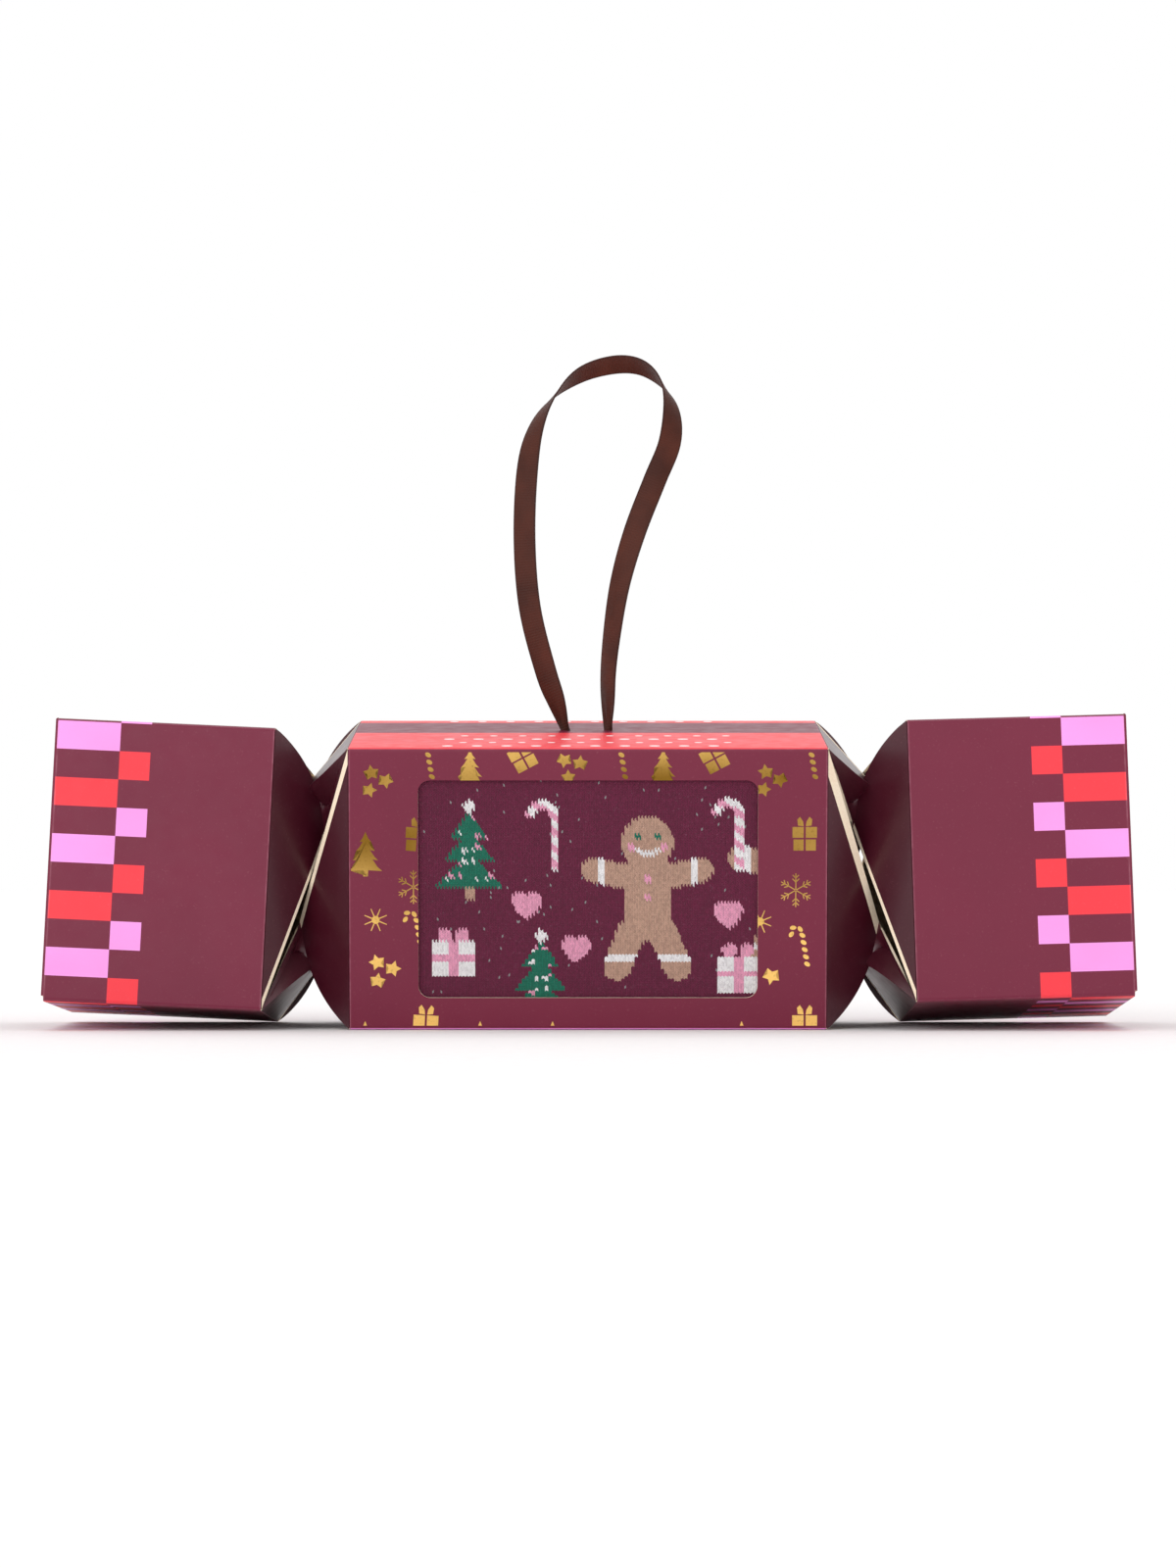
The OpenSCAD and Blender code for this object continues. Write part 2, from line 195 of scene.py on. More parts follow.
class Shader:
    """A short way to write a material's nodes."""

    def __init__(self, name: str) -> None:
        """Starts a material with an empty Principled surface.

        Args:
            name: The material's name.
        """
        self.material = bpy.data.materials.new(name)
        self.material.use_nodes = True
        self.tree = self.material.node_tree
        self.surface = self.tree.nodes["Principled BSDF"]

    def node(self, kind: str, **values: object) -> bpy.types.Node:
        """Adds a node and sets its properties.

        Args:
            kind: The node's type without its ShaderNode prefix.
            **values: Properties to set on it.

        Returns:
            The new node.
        """
        made = self.tree.nodes.new("ShaderNode" + kind)
        for key, value in values.items():
            setattr(made, key, value)
        return made

    def feed(self, socket: Socket, value: object) -> None:
        """Links a socket to another, or sets it.

        Args:
            socket: The input to fill.
            value: An output socket, a number, a colour or a vector.
        """
        if isinstance(value, Socket):
            self.tree.links.new(value, socket)
        else:
            socket.default_value = value

    def calc(self, operation: str, *values: object) -> Socket:
        """One Math node.

        Args:
            operation: The node's operation.
            *values: Its inputs, in order.

        Returns:
            The result's socket.
        """
        made = self.node("Math", operation=operation)
        for socket, value in zip(made.inputs, values):
            self.feed(socket, value)
        return made.outputs[0]

    def mix(self, share: object, first: object, second: object, kind: str = "MIX") -> Socket:
        """Mixes two colours.

        Args:
            share: How much of the second, from zero to one.
            first: The colour at zero.
            second: The colour at one, or what it is multiplied by.
            kind: How they are mixed.

        Returns:
            The mixed colour's socket.
        """
        made = self.node("Mix", data_type="RGBA", blend_type=kind)
        for socket, value in ((0, share), (6, first), (7, second)):
            self.feed(made.inputs[socket], value)
        return made.outputs[2]

    def noise(self, where: object, scale: float, detail: float = 3.0) -> Socket:
        """Noise from about zero to one.

        Args:
            where: The coordinates' socket.
            scale: The noise's scale.
            detail: Its detail.

        Returns:
            The value's socket.
        """
        made = self.node("TexNoise")
        self.feed(made.inputs["Vector"], where)
        made.inputs["Scale"].default_value = scale
        made.inputs["Detail"].default_value = detail
        return made.outputs[0]

    def spread(
        self, value: object, low: float, high: float, out_low: float = 0.0, out_high: float = 1.0
    ) -> Socket:
        """Maps a range of values to another and clamps it.

        Args:
            value: The value to map.
            low: Value that becomes out_low.
            high: Value that becomes out_high.
            out_low: Result at low.
            out_high: Result at high.

        Returns:
            The mapped value's socket.
        """
        made = self.node("MapRange")
        for socket, item in zip(made.inputs, (value, low, high, out_low, out_high)):
            self.feed(socket, item)
        return made.outputs[0]

    def between(self, value: object, low: float, high: float) -> Socket:
        """One where a value lies between two limits, and zero elsewhere."""
        above = self.calc("GREATER_THAN", value, low)
        return self.calc("MULTIPLY", above, self.calc("LESS_THAN", value, high))

    def bump(self, height: object, depth: float, strength: float = 1.0) -> None:
        """Gives the surface a bump.

        Args:
            height: Height from zero to one.
            depth: Depth of a whole step, in metres.
            strength: How strongly it shows.
        """
        made = self.node("Bump")
        made.inputs["Distance"].default_value = depth
        made.inputs["Strength"].default_value = strength
        self.feed(made.inputs["Height"], height)
        self.feed(self.surface.inputs["Normal"], made.outputs[0])

    def split(self, vector: Socket) -> tuple[Socket, Socket, Socket]:
        """Separates a vector into its three parts.

        Args:
            vector: The vector's socket.

        Returns:
            Sockets of x, y and z.
        """
        made = self.node("SeparateXYZ")
        self.feed(made.inputs[0], vector)
        return made.outputs[0], made.outputs[1], made.outputs[2]

    def object_place(self) -> Socket:
        """The place on the object, in metres."""
        return self.node("TexCoord").outputs["Object"]

    def attribute(self, name: str, output: str = "Vector") -> Socket:
        """Reads one of the mesh's attributes."""
        return self.node("Attribute", attribute_name=name).outputs[output]

    def finish(self, color: object, roughness: object, **sockets: object) -> Material:
        """Sets the surface and returns the material.

        Args:
            color: Base colour.
            roughness: Roughness.
            **sockets: Other inputs by name, with spaces as underscores.

        Returns:
            The material.
        """
        self.feed(self.surface.inputs["Base Color"], color)
        self.feed(self.surface.inputs["Roughness"], roughness)
        for name, value in sockets.items():
            self.feed(self.surface.inputs[name.replace("_", " ")], value)
        return self.material


# Coordinates on the flat sheet in millimetres: along the cracker, and round it from the front's top fold
SHEET = "sheet_mm"


class PrintLayout(Enum):
    """What is printed on the board's outer side."""

    PLAIN = "plain"
    MIDDLE = "middle"
    END = "end"
    NECK = "neck"


@dataclass(frozen=True)
class PrintedBoard:
    """Burgundy print under a satin varnish, with the stripes or bands of its layout, and a darker ink on the
    necks as painted shade.

    Lengths are in millimetres of the flat sheet, and scales are those of noise textures.
    """

    layout: PrintLayout
    row: float = 7.2
    row_start: float = 0.6
    outer_column: float = 16.0
    inner_column: float = 7.8
    half_end: float = 27.5
    half_middle: float = 60.5
    face: float = 72.0
    red_from: float = -0.3
    red_to: float = 38.5
    rear_from: float = 65.0
    pink_from: float = 71.6
    pink_to: float = 79.0
    score: float = 0.45
    end_stretch_highlight: float = 0.34
    fold_stretch_highlight: float = 0.2
    fold_band: Pair = (0.1, 0.7)
    # Lighter print along the folds: partly the print drawn thin over the scores, partly a painted highlight
    stretch_highlight_tint: Color = ink(214, 150, 166)
    shadow: Color = ink(60, 16, 28)
    fibre: Color = ink(214, 150, 160)
    # Darker than the box's burgundy: painted shade in the folded necks
    neck_ink: Color = ink(68, 11, 28)
    # Also the scale of the noise that makes the fold lightening, partly painted highlight, uneven
    wear_scale: float = 420.0
    cloud_scale: float = 38.0
    fibre_scale: float = 1900.0
    varnish_scale: float = 260.0
    grain_depth: float = 0.012 * MM
    neck_gloss: float = 0.5
    wall_gloss: float = 0.06

    def stripes(self, shader: Shader, along: object, around: object) -> Socket:
        """Pink and red bricks in two columns at the outer end.

        Args:
            shader: The shader to add to.
            along: Distance from the end box's middle, outwards.
            around: Distance round the box from the front's top fold.

        Returns:
            The colour.
        """
        from_start = shader.calc("SUBTRACT", around, self.row_start)
        rows = shader.calc("FLOOR", shader.calc("DIVIDE", from_start, self.row))
        outer_from = self.half_end - self.outer_column
        in_outer = shader.calc("GREATER_THAN", along, outer_from)
        in_inner = shader.calc("GREATER_THAN", along, outer_from - self.inner_column)
        # Every fourth row is pink and the one between is red. The inner column is moved up by a row
        brick = shader.calc("ADD", rows, shader.calc("SUBTRACT", 1.0, in_outer))
        phase = shader.calc("FLOORED_MODULO", brick, 4.0)
        is_pink = shader.calc("MULTIPLY", shader.calc("LESS_THAN", phase, 0.5), in_inner)
        is_red = shader.calc("MULTIPLY", shader.calc("COMPARE", phase, 2.0, 0.5), in_inner)
        return shader.mix(is_red, shader.mix(is_pink, BURGUNDY, PINK), RED)

    def bands(self, shader: Shader, around: object) -> Socket:
        """Two red bands on the top face and a pink base.

        Args:
            shader: The shader to add to.
            around: Distance round the box from the front's top fold, upwards negative.

        Returns:
            The colour.
        """
        back = shader.calc("MULTIPLY", around, -1.0)
        front_red = shader.between(back, self.red_from, self.red_to)
        rear_red = shader.between(back, self.rear_from, self.face)
        color = shader.mix(shader.calc("ADD", front_red, rear_red), BURGUNDY, RED)
        return shader.mix(shader.between(around, self.pink_from, self.pink_to), color, PINK)

    def stretch_and_highlight_folds(
        self, shader: Shader, color: object, along: object, around: object, half: float
    ) -> Socket:
        """Lightens the print at the box's end and along each fold: partly print drawn thin over the scores,
        partly a painted highlight.

        Args:
            shader: The shader to add to.
            color: The print.
            along: Distance along the box from its middle.
            around: Distance round the box.
            half: Half the box's length.

        Returns:
            The colour.
        """
        # Lighter at the box's end and along each fold: partly print drawn thin over the scores, partly a
        # painted highlight
        end = shader.spread(shader.calc("ABSOLUTE", along), half - self.score, half, 0.0, self.end_stretch_highlight)
        # Folds lie at every whole face, so the distance bounces between zero and half a face
        off_fold = shader.calc("PINGPONG", around, self.face / 2)
        side = shader.spread(off_fold, *self.fold_band, self.fold_stretch_highlight, 0.0)
        uneven = shader.spread(shader.noise(shader.object_place(), self.wear_scale), 0.3, 0.7, 0.3, 1.0)
        # worn carries the painted highlight together with the print drawn thin over the scores
        worn = shader.calc("MULTIPLY", shader.calc("MAXIMUM", end, side), uneven)
        return shader.mix(worn, color, self.stretch_highlight_tint)

    def material(self) -> Material:
        """Makes the print's material.

        Returns:
            The material.
        """
        shader = Shader(f"printed_board_{self.layout.value}")
        place = shader.object_place()
        is_neck = self.layout is PrintLayout.NECK
        # The necks take the darker ink as painted shade
        color: object = self.neck_ink if is_neck else BURGUNDY
        if self.layout in (PrintLayout.MIDDLE, PrintLayout.END):
            along, around, _ = shader.split(shader.attribute(SHEET))
            is_end = self.layout is PrintLayout.END
            color = self.stripes(shader, along, around) if is_end else self.bands(shader, around)
            color = self.stretch_and_highlight_folds(shader, color, along, around, self.half_end if is_end else self.half_middle)
        # Slightly uneven ink, and the board's fibres under the varnish
        cloud = shader.noise(place, self.cloud_scale, 2.0)
        fibres = shader.noise(place, self.fibre_scale, 4.0)
        varnish = shader.noise(place, self.varnish_scale, 3.0)
        color = shader.mix(shader.spread(cloud, 0.3, 0.7, 0.0, 0.1), color, self.shadow)
        color = shader.mix(shader.spread(fibres, 0.62, 0.8, 0.0, 0.1), color, self.fibre)
        relief = shader.calc("ADD", fibres, shader.calc("MULTIPLY", varnish, 1.4))
        shader.bump(relief, self.grain_depth, 0.55)
        roughness = shader.spread(varnish, 0.3, 0.7, 0.36, 0.5)
        gloss = self.neck_gloss if is_neck else self.wall_gloss
        return shader.finish(color, roughness, Specular_IOR_Level=0.3, Coat_Weight=gloss, Coat_Roughness=0.28)


@dataclass(frozen=True)
class BareBoard:
    """The uncoated side of the board, grey-beige with fibres."""

    color: Color = ink(214, 200, 180)
    dark: Color = ink(176, 158, 134)
    fibre_scale: float = 900.0
    pulp_scale: float = 90.0
    fibre_depth: float = 0.03 * MM

    def material(self) -> Material:
        """Makes the bare board's material.

        Returns:
            The material.
        """
        shader = Shader("bare_board")
        place = shader.object_place()
        fibres = shader.noise(place, self.fibre_scale, 5.0)
        pulp = shader.noise(place, self.pulp_scale, 2.0)
        blotches = shader.spread(shader.calc("ADD", fibres, pulp), 0.75, 1.3)
        color = shader.mix(blotches, self.color, self.dark)
        shader.bump(fibres, self.fibre_depth, 0.6)
        return shader.finish(color, shader.spread(pulp, 0.3, 0.7, 0.75, 0.9), Specular_IOR_Level=0.25)


@dataclass(frozen=True)
class CutEdge:
    """The board's cream core where it is cut, with its pressed layers."""

    core: Color = ink(255, 238, 212)
    seam: Color = ink(226, 192, 156)
    pale: Color = ink(255, 244, 226)
    layer_scale: float = 2600.0
    stain_scale: float = 120.0
    layer_depth: float = 0.04 * MM

    def material(self) -> Material:
        """Makes the cut edge's material.

        Returns:
            The material.
        """
        shader = Shader("cut_board_edge")
        place = shader.object_place()
        layers = shader.noise(place, self.layer_scale, 3.0)
        stain = shader.noise(place, self.stain_scale, 2.0)
        color = shader.mix(shader.spread(layers, 0.4, 0.7, 0.0, 0.3), self.core, self.seam)
        color = shader.mix(shader.spread(stain, 0.5, 0.75, 0.0, 0.3), color, self.pale)
        shader.bump(layers, self.layer_depth, 0.7)
        return shader.finish(color, 0.82, Specular_IOR_Level=0.2)


@dataclass(frozen=True)
class GoldFoil:
    """Hot-stamped gold foil, brightest low on the front with a painted reflection of the table, and lighter
    near its top with a painted highlight.

    Heights are over the table.
    """

    # deep is the gold in painted shade, away from the painted reflection and the painted highlight
    deep: Color = ink(132, 96, 20)
    painted_lit_gold: Color = ink(255, 208, 116)
    scuffed: Color = ink(96, 70, 20)
    painted_table_reflection: Pair = (22 * MM, 42 * MM)
    painted_top_highlight: Pair = (64 * MM, 72 * MM)
    drift_scale: float = 55.0
    grain_scale: float = 1500.0
    grain_depth: float = 0.02 * MM

    def material(self) -> Material:
        """Makes the foil's material.

        Returns:
            The material.
        """
        shader = Shader("gold_foil")
        place = shader.object_place()
        drift = shader.noise(place, self.drift_scale, 2.0)
        grain = shader.noise(place, self.grain_scale, 3.0)
        _, _, height = shader.split(place)
        # Painted reflection of the table low on the front and painted highlight near the top, shifted at
        # random by the drift
        painted_low_reflection = shader.spread(height, *self.painted_table_reflection, 0.8, 0.0)
        glow = shader.calc("ADD", painted_low_reflection, shader.spread(height, *self.painted_top_highlight, 0.0, 0.4))
        lit = shader.calc("ADD", glow, shader.spread(drift, 0.35, 0.65, 0.0, 0.3))
        color = shader.mix(lit, self.deep, self.painted_lit_gold)
        color = shader.mix(shader.spread(grain, 0.55, 0.75, 0.0, 0.35), color, self.scuffed)
        shader.bump(grain, self.grain_depth, 0.4)
        roughness = shader.spread(grain, 0.3, 0.7, 0.3, 0.46)
        return shader.finish(color, roughness, Metallic=0.72, Specular_IOR_Level=0.5)


@dataclass(frozen=True)
class WhiteInk:
    """Opaque white ink over the red bands."""

    grain_scale: float = 1200.0

    def material(self) -> Material:
        """Makes the white ink's material.

        Returns:
            The material.
        """
        shader = Shader("white_ink")
        grain = shader.noise(shader.object_place(), self.grain_scale, 3.0)
        color = shader.mix(shader.spread(grain, 0.5, 0.8, 0.0, 0.12), WHITE_INK, RED)
        return shader.finish(color, 0.45, Specular_IOR_Level=0.4)


@dataclass(frozen=True)
class Satin:
    """Brown satin ribbon: fine warp and weft lines and a darker woven edge."""

    brown: Color = ink(64, 28, 17)
    worn: Color = ink(86, 42, 29)
    warp_shade: Color = ink(46, 20, 16)
    edge_shade: Color = ink(34, 14, 12)
    warp_turns: float = 150.0
    weft_turns: float = 9000.0
    edge_from: float = 0.44
    drift_scale: float = 120.0
    thread_depth: float = 0.02 * MM

    def material(self) -> Material:
        """Makes the satin's material, which reads the band's UV map in widths and metres.

        Returns:
            The material.
        """
        shader = Shader("brown_satin")
        across, along, _ = shader.split(shader.attribute("UVMap"))
        warp = shader.calc("SINE", shader.calc("MULTIPLY", across, self.warp_turns))
        weft = shader.calc("SINE", shader.calc("MULTIPLY", along, self.weft_turns))
        off_middle = shader.calc("ABSOLUTE", shader.calc("SUBTRACT", across, 0.5))
        edge = shader.calc("GREATER_THAN", off_middle, self.edge_from)
        drift = shader.noise(shader.object_place(), self.drift_scale, 2.0)
        color = shader.mix(shader.spread(drift, 0.3, 0.7), self.brown, self.worn)
        color = shader.mix(shader.spread(warp, -1.0, 1.0, 0.0, 0.25), color, self.warp_shade)
        color = shader.mix(shader.calc("MULTIPLY", edge, 0.45), color, self.edge_shade)
        shader.bump(shader.calc("ADD", warp, weft), self.thread_depth, 0.5)
        roughness = shader.spread(drift, 0.3, 0.7, 0.4, 0.5)
        return shader.finish(color, roughness, Anisotropic=0.4, Specular_IOR_Level=0.16, Sheen_Weight=0.02)


@dataclass(frozen=True)
class Knit:
    """Fine stocking stitch, with each stitch's colour read from the mesh, its V drawn by the UV map and
    painted shade in the valleys between stitches.
    """

    # The colour that the painted shade in the valleys multiplies the yarn by
    valley: Color = (0.2, 0.14, 0.2, 1)
    fluff_color: Color = ink(232, 190, 212)
    shade: Color = (0.5, 0.42, 0.5, 1)
    slope: float = 1.3
    fluff_scale: float = 2400.0
    wear_scale: float = 70.0
    stitch_depth: float = 0.35 * MM

    def material(self) -> Material:
        """Makes the knit's material, whose UV map counts stitches across and up.

        Returns:
            The material.
        """
        shader = Shader("knitted_sock")
        across, up, _ = shader.split(shader.attribute("UVMap"))
        lobe = shader.calc("ABSOLUTE", shader.calc("SUBTRACT", shader.calc("FRACT", across), 0.5))
        slant = shader.calc("FRACT", shader.calc("SUBTRACT", up, shader.calc("MULTIPLY", lobe, self.slope)))
        loop = shader.calc("SINE", shader.calc("MULTIPLY", slant, math.pi))
        # Zero in the middle and at the sides of a stitch, one in the middle of each of its two legs
        leg = shader.calc("SINE", shader.calc("MULTIPLY", lobe, 2 * math.pi))
        height = shader.calc("MULTIPLY", shader.calc("POWER", loop, 0.7), shader.calc("POWER", leg, 0.6))
        place = shader.object_place()
        fluff = shader.noise(place, self.fluff_scale, 4.0)
        worn = shader.noise(place, self.wear_scale, 2.0)
        yarn = shader.attribute("stitch_color", "Color")
        # Painted shade darkens the valleys between stitches, less in pale yarn, whose light scatters into
        # them
        _, green, _ = shader.split(yarn)
        valley_shade_share = shader.spread(height, 0.05, 0.5, 0.75, 0.0)
        depth = shader.calc("MULTIPLY", valley_shade_share, shader.spread(green, 0.05, 0.9, 1.0, 0.08))
        color = shader.mix(depth, yarn, self.valley, "MULTIPLY")
        color = shader.mix(shader.spread(fluff, 0.6, 0.85, 0.0, 0.16), color, self.fluff_color)
        color = shader.mix(shader.spread(worn, 0.35, 0.7, 0.1, 0.0), color, self.shade, "MULTIPLY")
        relief = shader.calc("ADD", height, shader.calc("MULTIPLY", fluff, 0.35))
        shader.bump(relief, self.stitch_depth, 0.8)
        return shader.finish(color, 0.92, Specular_IOR_Level=0.15, Sheen_Weight=0.12, Sheen_Roughness=0.6)


@dataclass(frozen=True)
class Finishes:
    """Every material of the cracker, made once."""

    prints: dict[PrintLayout, Material] = field(
        default_factory=lambda: {layout: PrintedBoard(layout).material() for layout in PrintLayout}
    )
    bare: Material = field(default_factory=lambda: BareBoard().material())
    cut: Material = field(default_factory=lambda: CutEdge().material())
    foil: Material = field(default_factory=lambda: GoldFoil().material())
    white: Material = field(default_factory=lambda: WhiteInk().material())
    satin: Material = field(default_factory=lambda: Satin().material())
    knit: Material = field(default_factory=lambda: Knit().material())

    def board(self, layout: PrintLayout) -> list[Material]:
        """The three materials of a printed board, in the order of Skin."""
        return [self.prints[layout], self.bare, self.cut]


def pick_only(piece: Piece) -> None:
    """Makes a piece the one that is selected and active.

    Args:
        piece: The piece.
    """
    bpy.ops.object.select_all(action="DESELECT")
    piece.select_set(True)
    bpy.context.view_layer.objects.active = piece


def named(piece: Piece, name: str, materials: Sequence[Material]) -> Piece:
    """Names a piece and gives it its material slots.

    Args:
        piece: The piece.
        name: Its name.
        materials: Its materials, in slot order.

    Returns:
        The piece.
    """
    piece.name = name
    piece.data.name = name
    piece.data.materials.clear()
    for material in materials:
        piece.data.materials.append(material)
    LOG.info("built %s", name)
    return piece


def move_vertices(piece: Piece, place: Callable[[Vector], Vector]) -> None:
    """Moves each vertex of a mesh.

    Args:
        piece: The piece.
        place: Gives a vertex's new place from its old one.
    """
    for vertex in piece.data.vertices:
        vertex.co = place(vertex.co.copy())
    piece.data.update()


def face_outward(piece: Piece) -> None:
    """Turns every face of a closed piece outward.

    Args:
        piece: The piece.
    """
    pick_only(piece)
    bpy.ops.object.mode_set(mode="EDIT")
    bpy.ops.mesh.select_all(action="SELECT")
    bpy.ops.mesh.normals_make_consistent(inside=False)
    bpy.ops.object.mode_set(mode="OBJECT")


def apply_all(piece: Piece) -> None:
    """Applies a piece's modifiers in their order.

    Args:
        piece: The piece.
    """
    pick_only(piece)
    for modifier in list(piece.modifiers):
        bpy.ops.object.modifier_apply(modifier=modifier.name)


def grid_piece(across: int, up: int) -> Piece:
    """Adds a grid whose vertices lie from zero to one in X and Y.

    Args:
        across: Faces along X.
        up: Faces along Y.

    Returns:
        The grid.
    """
    bpy.ops.mesh.primitive_grid_add(
        x_subdivisions=across, y_subdivisions=up, size=1.0, location=(0.5, 0.5, 0.0), calc_uvs=True
    )
    grid = bpy.context.active_object
    bpy.ops.object.transform_apply(location=True, rotation=False, scale=False)
    return grid


def pick_edges(piece: Piece, wanted: Callable[[Vector, Vector], bool]) -> None:
    """Selects the edges whose two ends pass a test, and leaves the piece in edit mode.

    Args:
        piece: The piece.
        wanted: Tells whether an edge between two places is selected.
    """
    pick_only(piece)
    bpy.ops.object.mode_set(mode="EDIT")
    bpy.ops.mesh.select_mode(type="EDGE")
    bpy.ops.mesh.select_all(action="DESELECT")
    bpy.ops.object.mode_set(mode="OBJECT")
    spots = [vertex.co for vertex in piece.data.vertices]
    for edge in piece.data.edges:
        edge.select = wanted(*(spots[index] for index in edge.vertices))
    bpy.ops.object.mode_set(mode="EDIT")


def round_edges(
    piece: Piece, wanted: Callable[[Vector, Vector], bool], radius: float, steps: int
) -> None:
    """Rounds the edges whose two ends pass a test.

    Args:
        piece: The piece.
        wanted: Tells whether an edge between two places is rounded.
        radius: The rounding's radius.
        steps: Its segments.
    """
    pick_edges(piece, wanted)
    bpy.ops.mesh.bevel(offset=radius, segments=steps, affect="EDGES", profile=0.5)
    bpy.ops.object.mode_set(mode="OBJECT")


def split_wide_faces(piece: Piece) -> None:
    """Splits every face of more than four corners into triangles.

    Args:
        piece: The piece.
    """
    pick_only(piece)
    bpy.ops.object.mode_set(mode="EDIT")
    bpy.ops.mesh.select_mode(type="FACE")
    bpy.ops.mesh.select_all(action="DESELECT")
    bpy.ops.mesh.select_face_by_sides(number=4, type="GREATER")
    bpy.ops.mesh.quads_convert_to_tris()
    bpy.ops.object.mode_set(mode="OBJECT")


def mesh_piece(
    name: str, vertices: Sequence[Vector | Point], faces: Sequence[Sequence[int]]
) -> Piece:
    """Adds a piece from vertices and faces that were worked out.

    Args:
        name: The piece's name.
        vertices: Its vertices.
        faces: Its faces, as indices of the vertices.

    Returns:
        The piece.
    """
    data = bpy.data.meshes.new(name)
    data.from_pydata(vertices, [], faces)
    piece = bpy.data.objects.new(name, data)
    bpy.context.collection.objects.link(piece)
    return piece


def tube_faces(spans: int, ring: int) -> list[tuple[int, ...]]:
    """Faces between equal rings of vertices that follow each other.

    Args:
        spans: How many spans lie between the rings.
        ring: Vertices in a ring.

    Returns:
        The faces, as indices of the vertices.
    """
    quads = []
    for i in range(spans):
        near, far = i * ring, (i + 1) * ring
        quads += [(near + k, near + (k + 1) % ring, far + (k + 1) % ring, far + k) for k in range(ring)]
    return quads


def thicken(
    piece: Piece, thickness: float, offset: float = -1.0, rim: Skin = Skin.CUT, even: bool = True
) -> None:
    """Turns a sheet of board into a closed one, with its own slots for the inside and the edges.

    Args:
        piece: A sheet whose faces look outward.
        thickness: The board's thickness.
        offset: -1 grows inward from the sheet, 0 to both sides.
        rim: The surface of the edges, which is the print's where they are folds.
        even: Whether the thickness is kept at folds, which spikes where they are sharp.
    """
    solid = piece.modifiers.new("thickness", "SOLIDIFY")
    solid.thickness = thickness
    solid.offset = offset
    solid.use_even_offset = even
    solid.material_offset = Skin.INNER.value
    solid.material_offset_rim = rim.value
    apply_all(piece)


def shade_folds(piece: Piece, angle: float = 32.0) -> None:
    """Smooths a piece's shading across edges blunter than an angle."""
    pick_only(piece)
    bpy.ops.object.shade_smooth_by_angle(angle=math.radians(angle))


def write_sheet(piece: Piece, where: Callable[[Vector], Flat]) -> None:
    """Stores each vertex's place on the flat printed sheet, in millimetres.

    Args:
        piece: The piece, still in its box's own axes.
        where: Gives the distance along the cracker and round it from the front's top fold.
    """
    sheet = piece.data.attributes.new(SHEET, "FLOAT_VECTOR", "POINT")
    for vertex in piece.data.vertices:
        along, around = where(vertex.co)
        sheet.data[vertex.index].vector = (along / MM, around / MM, 0.0)


def put(piece: Piece, place: Matrix) -> Piece:
    """Moves a piece's mesh into the frame, and keeps its faces outward when the place mirrors it.

    Args:
        piece: The piece.
        place: From the piece's own axes to the frame.

    Returns:
        The piece.
    """
    piece.data.transform(place)
    if place.determinant() < 0:
        piece.data.flip_normals()
    piece.data.update()
    return piece


def turned(face: Face, across: float, out: float) -> Flat:
    """Turns a place on the front face round to another face.

    Args:
        face: The face.
        across: Distance up the front face from its middle.
        out: Distance outwards from the box's axis.

    Returns:
        The place's y and z.
    """
    spot = (-out, across)
    for _ in range(face.value):
        spot = (spot[1], -spot[0])
    return spot


